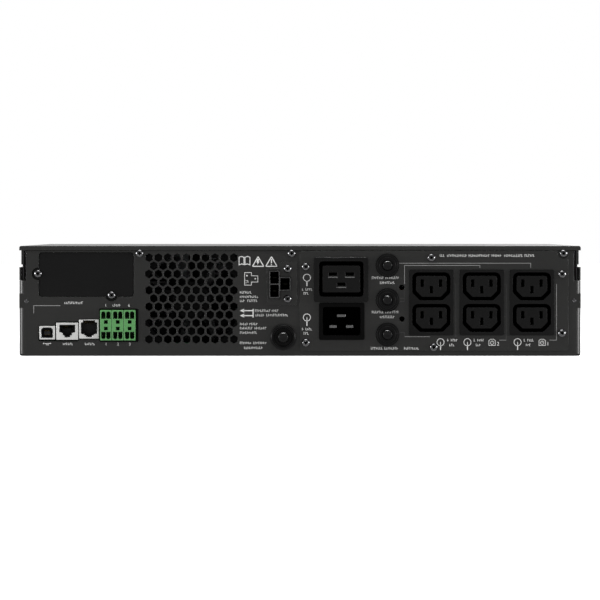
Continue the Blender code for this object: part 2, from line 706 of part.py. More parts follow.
def front_buttons():
    inner = BEZEL_FACE - 3.0
    x, z = POWER_BUTTON
    profile = [(0, inner - 5), (7.6, inner - 5), (7.6, inner - 3), (6.2, inner - 3)]
    profile += [(6.2, FRONT - 0.5), (5.7, FRONT), (0, FRONT)]
    add_part("power_button", turned(profile, x, z), KEY_PLASTIC, (x, FRONT, z))
    for name, middle in NAV_BUTTONS:
        cap = prism(rounded(middle - 6, NAV_Z - 3, middle + 6, NAV_Z + 3, 2.7), inner - 4, FRONT)
        flange = prism(rounded(middle - 7.3, NAV_Z - 4.3, middle + 7.3, NAV_Z + 4.3, 3), inner - 5, inner - 3)
        add_part(name, join(cap, flange), KEY_PLASTIC, (middle, FRONT, NAV_Z))


# ---------------------------------------------------------------- the whole unit
for old in list(bpy.context.scene.objects):
    bpy.data.objects.remove(old)

STEEL = material("black_steel", (0.026, 0.026, 0.025), 0.5, 0.2)
DARK_STEEL = material("dark_steel", (0.011, 0.011, 0.011), 0.5, 0.2)
ZINC = material("zinc_steel", (0.45, 0.46, 0.47), 0.4, 1.0)
NICKEL = material("nickel", (0.5, 0.5, 0.5), 0.3, 1.0)
ALUMINIUM = material("aluminium", (0.6, 0.61, 0.62), 0.4, 1.0)
BLACK_PLASTIC = material("black_plastic", (0.011, 0.011, 0.011), 0.45)
BEZEL_PLASTIC = material("bezel_plastic", (0.018, 0.018, 0.019), 0.5)
KEY_PLASTIC = material("key_plastic", (0.06, 0.06, 0.065), 0.4)
GREEN_PLASTIC = material("green_plastic", (0.13, 0.36, 0.13), 0.45)
BATTERY_CASE = material("battery_case", (0.03, 0.03, 0.032), 0.55)
BOARD = material("circuit_board", (0.02, 0.12, 0.05), 0.5)
FERRITE = material("ferrite", (0.03, 0.03, 0.035), 0.6)
SLEEVE = material("capacitor_sleeve", (0.02, 0.02, 0.05), 0.4)
SCREEN = material("screen", (0.01, 0.012, 0.016), 0.15)

chassis_base()
top_cover()
rear_panel()
card_slot_cover()
output_panel()
battery_socket_plate()
battery_bay_wall()
for index, middle in enumerate(C13_XS):
    c13_outlets(index + 1, middle)
c19_outlet()
c20_inlet()
for index, height in enumerate(BREAKER_ZS):
    breaker(index + 1, BREAKER_X, height)
input_breaker()
for index, (screw_x, screw_z) in enumerate(OUTPUT_SCREWS):
    screw(f"output_panel_screw_{index + 1}", screw_x, screw_z)
battery_socket()
usb_port()
rs485_jack()
rs232_jack()
terminal_header()
for index in range(3):
    terminal_plug(index + 1)
comm_board()
fan_frame()
fan_rotor()
heatsink(1, -124)
heatsink(2, -72)
transformer()
capacitor()
main_board()
battery_tray()
battery_blocks()
front_bezel()
battery_cover()
display()
front_buttons()
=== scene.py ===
"""Looks of a two-unit rackmount UPS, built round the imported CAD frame.

The rear, with the connectors, faces -Y. Sizes are in millimetres until solid() makes them metres.
"""

import random
from math import cos, pi, radians, sin

import bmesh
import bpy
from mathutils import Euler, Matrix, Vector
from mathutils.geometry import delaunay_2d_cdt


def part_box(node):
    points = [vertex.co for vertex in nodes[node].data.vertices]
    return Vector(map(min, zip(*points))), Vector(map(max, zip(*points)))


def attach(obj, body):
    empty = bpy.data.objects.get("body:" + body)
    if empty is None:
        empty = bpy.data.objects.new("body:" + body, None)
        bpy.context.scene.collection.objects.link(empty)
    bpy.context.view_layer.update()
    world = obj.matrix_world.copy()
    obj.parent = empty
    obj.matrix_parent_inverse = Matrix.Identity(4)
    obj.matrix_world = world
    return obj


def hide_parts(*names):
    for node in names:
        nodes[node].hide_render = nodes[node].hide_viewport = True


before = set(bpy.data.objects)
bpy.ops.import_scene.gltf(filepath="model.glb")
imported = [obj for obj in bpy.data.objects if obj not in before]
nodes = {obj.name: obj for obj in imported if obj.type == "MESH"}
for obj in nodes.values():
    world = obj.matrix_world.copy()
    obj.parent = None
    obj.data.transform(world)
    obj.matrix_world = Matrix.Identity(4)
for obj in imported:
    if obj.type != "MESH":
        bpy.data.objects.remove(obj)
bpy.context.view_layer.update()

MM = 0.001
TRIANGLES_WITHOUT_HOLES = 2  # what delaunay_2d_cdt gives back
GAP = 0.3  # clearance between neighbouring pieces of the CAD
SEAT = 0.05  # keeps a screw's head off the sheet behind it
CLEAR = 0.01  # keeps ink and rivets off the face behind them
INK = 0.05  # thickness of printed ink
dice = random.Random(7)


def node_box(name):
    """A node's low and high corners, in millimetres."""
    low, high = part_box(name)
    return [v / MM for v in low], [v / MM for v in high]


def node_middle(name):
    low, high = node_box(name)
    return [(a + b) / 2 for a, b in zip(low, high)]


REAR = node_box("rear_panel")[0][1]  # outer face of the rear panel
PLATE = node_box("output_panel")[0][1]  # outer face of the plates screwed on it
SHEET = node_box("output_panel")[1][1] - PLATE
BEZEL_FACE = node_box("front_bezel")[1][1]


# ---- outlines in a flat plane
def rectangle(x0, z0, x1, z1):
    return [(x0, z0), (x1, z0), (x1, z1), (x0, z1)]


def grown(box, by):
    x0, z0, x1, z1 = box
    return (x0 - by, z0 - by, x1 + by, z1 + by)


def arc(x, z, radius, start, end, steps):
    """Points on an arc, with the angles in degrees from +X."""
    angles = [radians(start + (end - start) * i / steps) for i in range(steps + 1)]
    return [(x + radius * cos(a), z + radius * sin(a)) for a in angles]


def rounded(x0, z0, x1, z1, radius, steps=6):
    points = []
    for x, z, start in ((x1, z0, -90), (x1, z1, 0), (x0, z1, 90), (x0, z0, 180)):
        centre_x = x - radius if x == x1 else x + radius
        centre_z = z - radius if z == z1 else z + radius
        points += arc(centre_x, centre_z, radius, start, start + 90, steps)
    return points


def circle(x, z, radius, steps=32):
    return arc(x, z, radius, 0, 360 - 360 / steps, steps - 1)


def filleted(points, radius, steps=4):
    """A closed outline with each corner rounded. The radius may be one number or one for each point."""
    radii = radius if isinstance(radius, (list, tuple)) else [radius] * len(points)
    made = []
    for index, (corner, r) in enumerate(zip(points, radii)):
        if r <= 0:
            made.append(corner)
            continue
        here = Vector(corner)
        back = (Vector(points[index - 1]) - here).normalized()
        ahead = (Vector(points[(index + 1) % len(points)]) - here).normalized()
        half = back.angle(ahead) / 2
        reach = r * cos(half) / sin(half)
        centre = here + (back + ahead).normalized() * (r / sin(half))
        first, last = here + back * reach - centre, here + ahead * reach - centre
        turn = first.angle_signed(last)
        for step in range(steps + 1):
            point = centre + Matrix.Rotation(-turn * step / steps, 2) @ first
            made.append((point.x, point.y))
    return made


def offset(points, by):
    """A counterclockwise outline, grown outwards by a distance."""
    made = []
    for index, point in enumerate(points):
        here = Vector(point)
        before = (here - Vector(points[index - 1])).normalized()
        after = (Vector(points[(index + 1) % len(points)]) - here).normalized()
        out = Vector((before.y, -before.x))
        middle = (out + Vector((after.y, -after.x))).normalized()
        made.append(tuple(here + middle * (by / max(0.3, middle.dot(out)))))
    return made


def mirrored(right, x):
    """A counterclockwise outline about a vertical line, from its right half given from the bottom up."""
    return [(x + u, v) for u, v in right] + [(x - u, v) for u, v in reversed(right)]


def stroke(points, width):
    """A closed outline round an open path of straight lines, mitred at its bends."""
    path = [Vector(p) for p in points]
    left, right = [], []
    for index, point in enumerate(path):
        before = (point - path[index - 1]).normalized() if index else None
        after = (path[index + 1] - point).normalized() if index < len(path) - 1 else None
        along = ((before or after) + (after or before)).normalized()
        side = Vector((-along.y, along.x))
        reference = after or before
        mitre = width / 2 / max(0.3, side.dot(Vector((-reference.y, reference.x))))
        left.append(tuple(point + side * mitre))
        right.append(tuple(point - side * mitre))
    return right + left[::-1]


# ---- solids
AXES = {
    "X": lambda u, v, w: (w, u, v),
    "Y": lambda u, v, w: (u, w, v),
    "Z": lambda u, v, w: (u, v, w),
}


def placed(name, data):
    """A new object in the scene."""
    made = bpy.data.objects.new(name, data)
    bpy.context.scene.collection.objects.link(made)
    return made


def mesh_object(bm, name):
    """A new object from a bmesh, which is used up."""
    mesh = bpy.data.meshes.new(name)
    bm.to_mesh(mesh)
    bm.free()
    return placed(name, mesh)


def solid(bm):
    """A mesh object in metres, from a bmesh in millimetres."""
    bmesh.ops.recalc_face_normals(bm, faces=bm.faces)
    bmesh.ops.scale(bm, vec=(MM, MM, MM), verts=bm.verts)
    return mesh_object(bm, "solid")


def prism_into(bm, outline, low, high, holes=(), axis="Y"):
    flat = [Vector(point) for loop in (outline, *holes) for point in loop]
    rims = []
    for loop in (outline, *holes):
        start = rims[-1][-1] + 1 if rims else 0
        rims.append(list(range(start, start + len(loop))))
    filled = delaunay_2d_cdt(flat, [], rims, TRIANGLES_WITHOUT_HOLES, 1e-6)
    place = AXES[axis]
    near = [bm.verts.new(place(u, v, low)) for u, v in filled[0]]
    faces = [bm.faces.new([near[i] for i in corners]) for corners in filled[2]]
    pushed = bmesh.ops.extrude_face_region(bm, geom=faces)["geom"]
    far = [item for item in pushed if isinstance(item, bmesh.types.BMVert)]
    bmesh.ops.translate(bm, vec=Vector(place(0, 0, high - low)), verts=far)


def prism(outline, low, high, holes=(), axis="Y"):
    bm = bmesh.new()
    prism_into(bm, outline, low, high, holes, axis)
    return solid(bm)


def band_into(bm, outline, inner, low, high):
    """A closed frame between two outlines with the same number of points."""
    loops = [[bm.verts.new((u, y, v)) for u, v in points] for y in (low, high) for points in (outline, inner)]
    count = len(outline)
    for one, other in ((0, 1), (1, 3), (3, 2), (2, 0)):
        for i in range(count):
            j = (i + 1) % count
            bm.faces.new((loops[one][i], loops[one][j], loops[other][j], loops[other][i]))


def prisms(shapes, low, high):
    """Many separate outlines pushed out together as one object. A pair of outlines makes a frame."""
    bm = bmesh.new()
    for shape in shapes:
        if isinstance(shape, tuple):
            band_into(bm, *shape, low, high)
        else:
            prism_into(bm, shape, low, high)
    return solid(bm)


def box(x0, y0, z0, x1, y1, z1):
    return prism(rectangle(x0, z0, x1, z1), y0, y1)


def turned(profile, x, z, steps=48):
    """A profile of (radius, y) points turned about an axis along Y. Its two ends lie on the axis."""
    bm = bmesh.new()
    rings = []
    for radius, y in profile:
        if radius == 0:
            rings.append([bm.verts.new((x, y, z))] * steps)
        else:
            rings.append([bm.verts.new((u, y, v)) for u, v in circle(x, z, radius, steps)])
    for one, other in zip(rings, rings[1:]):
        for i in range(steps):
            j = (i + 1) % steps
            bm.faces.new(list(dict.fromkeys([one[i], one[j], other[j], other[i]])))
    return solid(bm)


def combine(body, other, operation):
    """Joins or cuts body with other, and removes other."""
    modifier = body.modifiers.new(operation, "BOOLEAN")
    modifier.operation = operation
    modifier.object = other
    settle(body)
    bpy.data.objects.remove(other)
    return body


def settle(body):
    """Applies the modifiers of a piece."""
    graph = bpy.context.evaluated_depsgraph_get()
    result = bpy.data.meshes.new_from_object(body.evaluated_get(graph))
    body.modifiers.clear()
    old = body.data
    body.data = result
    bpy.data.meshes.remove(old)
    return body


def join(body, *others):
    for other in others:
        combine(body, other, "UNION")
    return body


def cut(body, *others):
    for other in others:
        combine(body, other, "DIFFERENCE")
    return body


def soften(body, width, segments=2, angle=40):
    """Rounds the sharp edges of a piece."""
    modifier = body.modifiers.new("soften", "BEVEL")
    modifier.width = width * MM
    modifier.segments = segments
    modifier.limit_method = "ANGLE"
    modifier.angle_limit = radians(angle)
    return settle(body)


def gather(pieces):
    """Several separate solids as one object."""
    bm = bmesh.new()
    for piece in pieces:
        bm.from_mesh(piece.data)
        bpy.data.objects.remove(piece)
    return mesh_object(bm, "gathered")


def finish_piece(name, piece, look, body="chassis", node=None, sharp=35):
    """Names a piece, gives it its material, and ties it to its CAD body."""
    piece.name = name
    piece.data.name = name
    piece.data.materials.clear()
    piece.data.materials.append(look)
    piece.data.shade_smooth()
    piece.data.set_sharp_from_angle(angle=radians(sharp))
    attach(piece, body)
    if node:
        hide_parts(node)
    return piece


def paint(piece, look, chosen):
    """Gives another material to the faces that chosen picks by their middle, in millimetres, and normal."""
    piece.data.materials.append(look)
    for face in piece.data.polygons:
        if chosen(face.center / MM, face.normal):
            face.material_index = len(piece.data.materials) - 1


def paint_shade_inside(piece, depth):
    """Paints shade: gives the faces deeper than a depth a dull black with no gloss, standing in for the shade
    in deep gaps.
    """
    paint(piece, PAINTED_SHADE, lambda middle, normal: middle.y > depth)


# ---- materials
class Nodes:
    """Short words for building a material's nodes."""

    def __init__(self, name):
        self.material = bpy.data.materials.new(name)
        self.material.use_nodes = True
        self.tree = self.material.node_tree
        self.shader = self.tree.nodes["Principled BSDF"]
        self.place = self.add("ShaderNodeTexCoord").outputs["Object"]

    def add(self, kind, **settings):
        made = self.tree.nodes.new(kind)
        for key, value in settings.items():
            setattr(made, key, value)
        return made

    def link(self, output, target):
        self.tree.links.new(output, target)

    def noise(self, size_mm, detail=3.0, stretch=None):
        """Noise with cells of about size_mm, squeezed along the axes by stretch."""
        source = self.place
        if stretch:
            mapping = self.add("ShaderNodeMapping")
            mapping.inputs["Scale"].default_value = stretch
            self.link(source, mapping.inputs["Vector"])
            source = mapping.outputs["Vector"]
        made = self.add("ShaderNodeTexNoise")
        made.inputs["Scale"].default_value = 1 / (size_mm * MM)
        made.inputs["Detail"].default_value = detail
        self.link(source, made.inputs["Vector"])
        return made.outputs["Fac"]

    def spread(self, source, low, high, at_low=0.3, at_high=0.7):
        """Maps at_low..at_high of a value to low..high."""
        made = self.add("ShaderNodeMapRange")
        for key, value in (("From Min", at_low), ("From Max", at_high), ("To Min", low), ("To Max", high)):
            made.inputs[key].default_value = value
        self.link(source, made.inputs["Value"])
        return made.outputs["Result"]

    def blend(self, factor, one, other):
        """Mixes two colours by a value."""
        made = self.add("ShaderNodeMix", data_type="RGBA")
        self.link(factor, made.inputs["Factor"])
        for key, colour in ((6, one), (7, other)):
            if isinstance(colour, tuple):
                made.inputs[key].default_value = (*colour, 1.0)
            else:
                self.link(colour, made.inputs[key])
        return made.outputs[2]

    def relief(self, height, depth_mm, strength=1.0, rounding_mm=0.0):
        """Bump from a height, over edges that are rounded in the shading."""
        made = self.add("ShaderNodeBump")
        made.inputs["Strength"].default_value = strength
        made.inputs["Distance"].default_value = depth_mm * MM
        self.link(height, made.inputs["Height"])
        if rounding_mm:
            rounding = self.add("ShaderNodeBevel", samples=4)
            rounding.inputs["Radius"].default_value = rounding_mm * MM
            self.link(rounding.outputs["Normal"], made.inputs["Normal"])
        self.link(made.outputs["Normal"], self.shader.inputs["Normal"])


def shade(colour, by):
    return tuple(min(1.0, c * by) for c in colour)


def surface(name, colour, roughness, metallic=0.0, specular=0.5, vary=0.12, grain_mm=0.5,
            relief_mm=0.02, rounding_mm=0.25, stretch=None, glow=0.0):
    """A moulded, coated or plated surface: clouded colour, fine grain in gloss and relief."""
    made = Nodes(name)
    clouds = made.spread(made.noise(28, 4.0), 0.0, 1.0)
    fine = made.noise(grain_mm, 3.0, stretch)
    cloudy = made.blend(clouds, shade(colour, 1 - vary), shade(colour, 1 + vary))
    speckle = made.spread(fine, 0.0, 1.0, 0.35, 0.75)
    coloured = made.blend(speckle, cloudy, shade(colour, 1 + 1.6 * vary))
    made.link(coloured, made.shader.inputs["Base Color"])
    smears = made.spread(made.noise(26, 3.0), roughness - 0.02, roughness + 0.02)
    rough = made.add("ShaderNodeMath", operation="ADD")
    made.link(smears, rough.inputs[0])
    made.link(made.spread(fine, -0.04, 0.04), rough.inputs[1])
    made.link(rough.outputs[0], made.shader.inputs["Roughness"])
    made.relief(fine, relief_mm, 0.6, rounding_mm)
    made.shader.inputs["Metallic"].default_value = metallic
    made.shader.inputs["Specular IOR Level"].default_value = specular
    if glow:
        made.shader.inputs["Emission Color"].default_value = (*colour, 1.0)
        made.shader.inputs["Emission Strength"].default_value = glow
    return made.material


def circuit_board(name):
    """Green solder mask over copper tracks."""
    made = Nodes(name)
    mapping = made.add("ShaderNodeMapping")
    mapping.inputs["Scale"].default_value = (1 / (9 * MM),) * 3
    made.link(made.place, mapping.inputs["Vector"])
    tracks = made.add("ShaderNodeTexBrick", offset=0.37)
    made.link(mapping.outputs["Vector"], tracks.inputs["Vector"])
    for key, value in (("Mortar Size", 0.06), ("Brick Width", 1.3), ("Row Height", 0.28), ("Scale", 1.0)):
        tracks.inputs[key].default_value = value
    mask = made.spread(tracks.outputs["Fac"], 0.0, 1.0, 0.2, 0.8)
    colour = made.blend(mask, (0.008, 0.075, 0.028), (0.02, 0.14, 0.05))
    made.link(colour, made.shader.inputs["Base Color"])
    made.link(made.spread(made.noise(4), 0.3, 0.5), made.shader.inputs["Roughness"])
    made.relief(mask, 0.05)
    return made.material


def plastic(name, level, roughness=0.44, specular=0.16, **settings):
    """Black moulded plastic, as bright as level."""
    return surface(name, (level, level, level), roughness, specular=specular, grain_mm=0.3, **settings)


def plated(name, colour, roughness, metallic=1.0, grain_mm=0.3, **settings):
    return surface(name, colour, roughness, metallic=metallic, grain_mm=grain_mm, **settings)


def ink(name, colour):
    """Matt printing ink, too thin for rounded edges."""
    return surface(name, colour, 0.6, specular=0.1, grain_mm=0.4, relief_mm=0.002, rounding_mm=0)


COAT = (0.0031, 0.0031, 0.0029)
STEEL = surface("black_powder_coat", COAT, 0.34, specular=0.125, relief_mm=0.010)
STEEL_BODY = surface("black_powder_coat_body", COAT, 0.32, specular=0.14, relief_mm=0.010, rounding_mm=0.5)
STEEL_DARK = surface("dark_powder_coat", (0.0012,) * 3, 0.50, specular=0.036, relief_mm=0.010)
ZINC = plated("zinc_plate", (0.20, 0.205, 0.21), 0.36, vary=0.16, grain_mm=0.8, relief_mm=0.01,
              stretch=(0.08, 1, 1))
SCREW = plated("black_nickel", (0.040, 0.040, 0.041), 0.19, relief_mm=0.003, rounding_mm=0.12)
PIN = plated("dull_nickel", (0.047,) * 3, 0.40, vary=0.15, relief_mm=0.006, rounding_mm=0.2)
# Contacts deep in the slots, darkened far below any plating: painted shade.
SHADED_CONTACT = plated("contact_in_painted_shade", (0.006, 0.006, 0.005), 0.45, relief_mm=0.004, rounding_mm=0.1)
PORT = plated("tinned_shell", (0.185, 0.185, 0.181), 0.40, 0.5, vary=0.05, relief_mm=0.006,
              stretch=(1, 1, 0.15))
GOLD = plated("gold_contact", (0.10, 0.065, 0.018), 0.35, grain_mm=0.2, relief_mm=0.002, rounding_mm=0.05)
# Black heatsink coat, darkened for the shade inside the case: partly painted shade.
SHADED_ANODISED = surface("black_anodised_darkened_for_shade", (0.008,) * 3, 0.42, specular=0.25, grain_mm=0.5, stretch=(1, 0.05, 1))
OUTLET = plastic("outlet_plastic", 0.0014, specular=0.034, rounding_mm=0.35)
# A lighter, glossier copy of the outlet plastic for upward-facing bevels: a painted highlight.
OUTLET_HIGHLIGHT = plastic("outlet_plastic_painted_highlight", 0.0030, 0.34, specular=0.08, rounding_mm=0.35)
INLET = plastic("inlet_plastic", 0.0006, specular=0.012, rounding_mm=0.35)
# Dull black with no gloss: painted shade for deep gaps, recesses and the gaps round parts.
PAINTED_SHADE = plastic("painted_shade_black", 0.0004, 0.70, specular=0.0)
LINING = plastic("lining_plastic", 0.0080, specular=0.06)
SOCKET = plastic("socket_plastic", 0.0120, specular=0.15)
BREAKER = plastic("breaker_plastic", 0.0012, 0.36, specular=0.030, rounding_mm=0.3)
RESET = plastic("reset_key_plastic", 0.0018, 0.30, specular=0.045, relief_mm=0.004)
# A glossy copy of the key plastic on faces that look upwards: a painted highlight.
PAINTED_HIGHLIGHT = plastic("painted_highlight_plastic", 0.0030, 0.24, specular=0.80, relief_mm=0.004)
GREEN = surface("green_polyamide", (0.021, 0.072, 0.021), 0.42, specular=0.19, vary=0.07, grain_mm=0.3,
                relief_mm=0.01)
# The plugs' green made far darker for the insides of the wire entries and the clamps: painted shade.
SHADED_GREEN = surface("green_polyamide_painted_shade", (0.0010, 0.0065, 0.0010), 0.6, specular=0.02, vary=0.1)
# Black fan plastic, darkened well below real plastic for the shade inside the case: partly painted shade.
SHADED_FAN_PLASTIC = plastic("fan_plastic", 0.0008, 0.60, specular=0.015)
BEZEL = plastic("bezel_plastic", 0.0062, 0.44, specular=0.18, relief_mm=0.025, rounding_mm=0.4)
MENU = plastic("menu_key_plastic", 0.0380, 0.38, specular=0.40, relief_mm=0.006)
BATTERY = plastic("battery_case_plastic", 0.0090, 0.45, specular=0.22, rounding_mm=0.5)
LABEL = surface("plain_label", (0.150, 0.150, 0.146), 0.55, vary=0.05, grain_mm=0.4, relief_mm=0.004)
RED = surface("red_terminal_cap", (0.30, 0.02, 0.015), 0.45, vary=0.1)
COPPER = plated("enamelled_copper", (0.16, 0.050, 0.018), 0.32, 0.8, grain_mm=1.2, relief_mm=0.2,
                stretch=(1, 0.1, 1))
CORE_STEEL = plated("laminated_core", (0.05, 0.05, 0.055), 0.5, 0.6, grain_mm=0.9, relief_mm=0.1,
                    stretch=(0.05, 1, 0.05))
SLEEVE = surface("capacitor_sleeve", (0.012, 0.014, 0.050), 0.35, vary=0.08)
CHIP = plastic("chip_package", 0.0120, 0.50, specular=0.30)
WHITE_INK = ink("white_ink", (0.190, 0.190, 0.187))
GREY_INK = ink("grey_ink", (0.068, 0.068, 0.067))
FAINT_INK = ink("faint_ink", (0.013,) * 3)
BOARD = circuit_board("solder_mask")
SCREEN = surface("screen_glass", (0.003, 0.005, 0.009), 0.10, specular=0.22, vary=0.2, grain_mm=1.2,
                 relief_mm=0.002)
LIT = surface("screen_segments", (0.10, 0.42, 0.75), 0.4, glow=0.7)


# ---- camera, light, floor
def camera():
    """Almost level and far away, a little above the top cover, looking at the rear."""
    distance, height, aim, seen_width = 5.0, 0.100, 0.0436, 0.468
    made = placed("camera", bpy.data.cameras.new("camera"))
    made.location = (0, REAR * MM - distance, height)
    made.rotation_euler = Euler((pi / 2 - (height - aim) / distance, 0, 0))
    made.data.sensor_width = 36
    made.data.lens = made.data.sensor_width * distance / seen_width
    made.data.clip_end = 50
    bpy.context.scene.camera = made


def softbox(name, place, aim, width, height, power):
    lamp = bpy.data.lights.new(name, "AREA")
    lamp.shape = "RECTANGLE"
    lamp.size, lamp.size_y = width, height
    lamp.energy = power
    made = placed(name, lamp)
    made.location = place
    made.rotation_euler = (Vector(aim) - Vector(place)).to_track_quat("-Z", "Y").to_euler()


def studio():
    """A white surround and floor, a lamp above, one at each side for the bent edges, one in front."""
    world = bpy.data.worlds.new("studio")
    world.use_nodes = True
    sky = world.node_tree.nodes["Background"]
    sky.inputs["Color"].default_value = (1.0, 1.0, 1.0, 1.0)
    sky.inputs["Strength"].default_value = 1.0
    bpy.context.scene.world = world
    bpy.context.scene.view_settings.view_transform = "Standard"
    rear, front = REAR * MM, BEZEL_FACE * MM
    aim = (0, rear, 0.05)
    softbox("top_light", (0, rear - 0.42, 1.35), aim, width=0.9, height=0.45, power=38)
    for side, name in ((-1, "left_light"), (1, "right_light")):
        softbox(name, (side * 1.35, rear - 0.38, 0.19), aim, width=0.62, height=0.3, power=46)
    softbox("front_light", (0.7, front + 1.6, 1.1), (0, front, 0.05), width=1.0, height=0.6, power=16)
    bm = bmesh.new()
    bmesh.ops.create_grid(bm, x_segments=8, y_segments=8, size=12)
    made = mesh_object(bm, "floor")
    made.location.z = -0.0002
    made.data.materials.append(surface("pale_floor", (0.55,) * 3, 0.8, specular=0.05, vary=0.01, grain_mm=3,
                                       relief_mm=0.01, rounding_mm=0, glow=1.1))


# ---- screws
def screw_mesh():
    """A pan head with a cross recess, its underside at y = 0 and its head towards -Y."""
    dome = arc(0, 0, 1, 90, 12, 8)
    profile = [(3.1 * u, -0.35 - 1.75 * v) for u, v in dome]
    profile[0] = (0, -2.1)
    profile += [(3.1, 0), (1.45, 0), (1.45, 4.5), (0, 4.5)]
    body = turned(profile, 0, 0, 48)
    for tilt in (0, 90):
        bm = bmesh.new()
        prism_into(bm, [(-1.9, -2.6), (1.9, -2.6), (0.55, -0.4), (-0.55, -0.4)], -0.42, 0.42, axis="Z")
        bmesh.ops.rotate(bm, matrix=Matrix.Rotation(radians(tilt), 3, "Y"), verts=bm.verts)
        cut(body, solid(bm))
    return body


SCREW_BODY = screw_mesh()


def screw(name, x, y, z, node=None):
    """A copy of the screw, with its head's underside at (x, y, z) and its cross turned by chance."""
    made = placed(name, SCREW_BODY.data.copy())
    made.data.transform(Matrix.Rotation(dice.uniform(0, pi / 2), 4, "Y"))
    made.data.transform(Matrix.Translation(Vector((x, y, z)) * MM))
    finish_piece(name, made, SCREW, node=node)
    recess = 1.2
    # The middle of the head round the cross recess is painted shade.
    paint(made, PAINTED_SHADE, lambda middle, normal: (middle.x - x) ** 2 + (middle.z - z) ** 2 < recess ** 2)


def screws():
    for index in range(1, 7):
        node = f"output_panel_screw_{index}"
        x, _, z = node_middle(node)
        screw(f"output_screw_{index}", x, PLATE - GAP, z, node)
    plate_x = node_box("battery_socket_plate")[1][0] - 7.3
    for index, z in enumerate((67.9, 44.4)):
        screw(f"socket_plate_screw_{index + 1}", plate_x, PLATE - SEAT, z)
    cover = node_box("card_slot_cover")[0][1]
    for index, (x, z) in enumerate(((-204.4, 64.1), (-147.0, 47.3))):
        screw(f"card_screw_{index + 1}", x, cover - SEAT, z)
    for index, x in enumerate((-125.2, -6.5, 205.6)):
        screw(f"rear_screw_{index + 1}", x, REAR - SEAT, 79.9)


def rivets():
    """The dimpled rivet in each tab of the rear panel's bend."""
    face = REAR - CLEAR
    profile = [(0, face - 0.05), (0.8, face - 0.1), (1.1, face - 0.45), (1.5, face - 0.3),
               (1.7, face), (0, face)]
    for name, x, z in (("left_rivet", -213.5, 42.7), ("right_rivet", 214.0, 43.3)):
        finish_piece(name, turned(profile, x, z, 28), SCREW)


# ---- outlets and inlet
def housing(outline, face, corner, body_box, depth, edge=0.5):
    """An outlet's body: a rounded flange with softened edges and a box behind it."""
    body = soften(prism(rounded(*outline, corner), face, PLATE - GAP), edge, 3, 60)
    return join(body, prism(rectangle(*body_box), PLATE - 0.6, face + depth))


def contact_leaves(x, z, width, height, face):
    """The spring contact down in a slot: two leaves with a gap between them."""
    leaf = 0.35
    if width < height:
        span = (z - height / 2 + 0.2, z + height / 2 - 0.2)
        ends = (x - width / 2 + 0.1, x + width / 2 - 0.1 - leaf)
        pair = [rectangle(end, span[0], end + leaf, span[1]) for end in ends]
    else:
        span = (x - width / 2 + 0.2, x + width / 2 - 0.2)
        ends = (z - height / 2 + 0.1, z + height / 2 - 0.1 - leaf)
        pair = [rectangle(span[0], end, span[1], end + leaf) for end in ends]
    return prisms(pair, face + 8, face + 13)


def c13_shape(x, z, width, height, low_cut, low_round, corner):
    """The outline of a C13 outlet: rounded above, its lower corners cut."""
    right, top = width / 2, height / 2
    half = [(right - low_cut, z - top), (right, z + low_cut - top), (right, z + top)]
    return filleted(mirrored(half, x), [low_round, low_round, corner, corner, low_round, low_round], 5)


def c13_outlets(number):
    node = f"c13_outlets_{number}"
    low, high = node_box(node)
    face = low[1]
    x, middle = (low[0] + high[0]) / 2, (low[2] + high[2]) / 2
    outline = (low[0], low[2], high[0], high[2])
    body = housing(outline, face, 1.5, grown(outline, -1.5), 28)
    contacts = []
    for z in (middle + 12.55, middle - 12.1):
        outside = c13_shape(x, z, 29.9, 21.9, 6.1, 3.2, 4.6)
        inside = c13_shape(x, z, 23.7, 16.3, 4.6, 1.0, 1.6)
        cut(body, prism(outside, face - 1, face + 15, [inside]))
        for dx, dz in ((-7.15, 2.5), (7.15, 2.5), (0, -2.6)):
            slot = rounded(x + dx - 1.4, z + dz - 2.9, x + dx + 1.4, z + dz + 2.9, 0.3, 2)
            cut(body, prism(slot, face - 1, face + 14))
            contacts.append(contact_leaves(x + dx, z + dz, 2.8, 5.8, face))
    finish_piece(f"c13_module_{number}", body, OUTLET, node=node)
    paint_shade_inside(body, face + 2)
    finish_piece(f"c13_contacts_{number}", gather(contacts), SHADED_CONTACT)


def slot_recess(x, z, width, height, face):
    """The cutter for the shallow recess round a slot, whose lower edge slopes outwards."""
    bm = bmesh.new()
    half = width / 2
    low, top = z - height / 2, z + height / 2
    deep = [(x - half, low), (x + half, low), (x + half, top), (x - half, top)]
    wide = [(x - half - 0.6, low - 0.9), (x + half + 0.6, low - 0.9),
            (x + half + 0.2, top), (x - half - 0.2, top)]
    back = [bm.verts.new((u, face + 0.6, v)) for u, v in deep]
    front = [bm.verts.new((u, face - 0.1, v)) for u, v in wide]
    bm.faces.new(back)
    bm.faces.new(front[::-1])
    for i in range(4):
        j = (i + 1) % 4
        bm.faces.new((front[i], front[j], back[j], back[i]))
    return solid(bm)


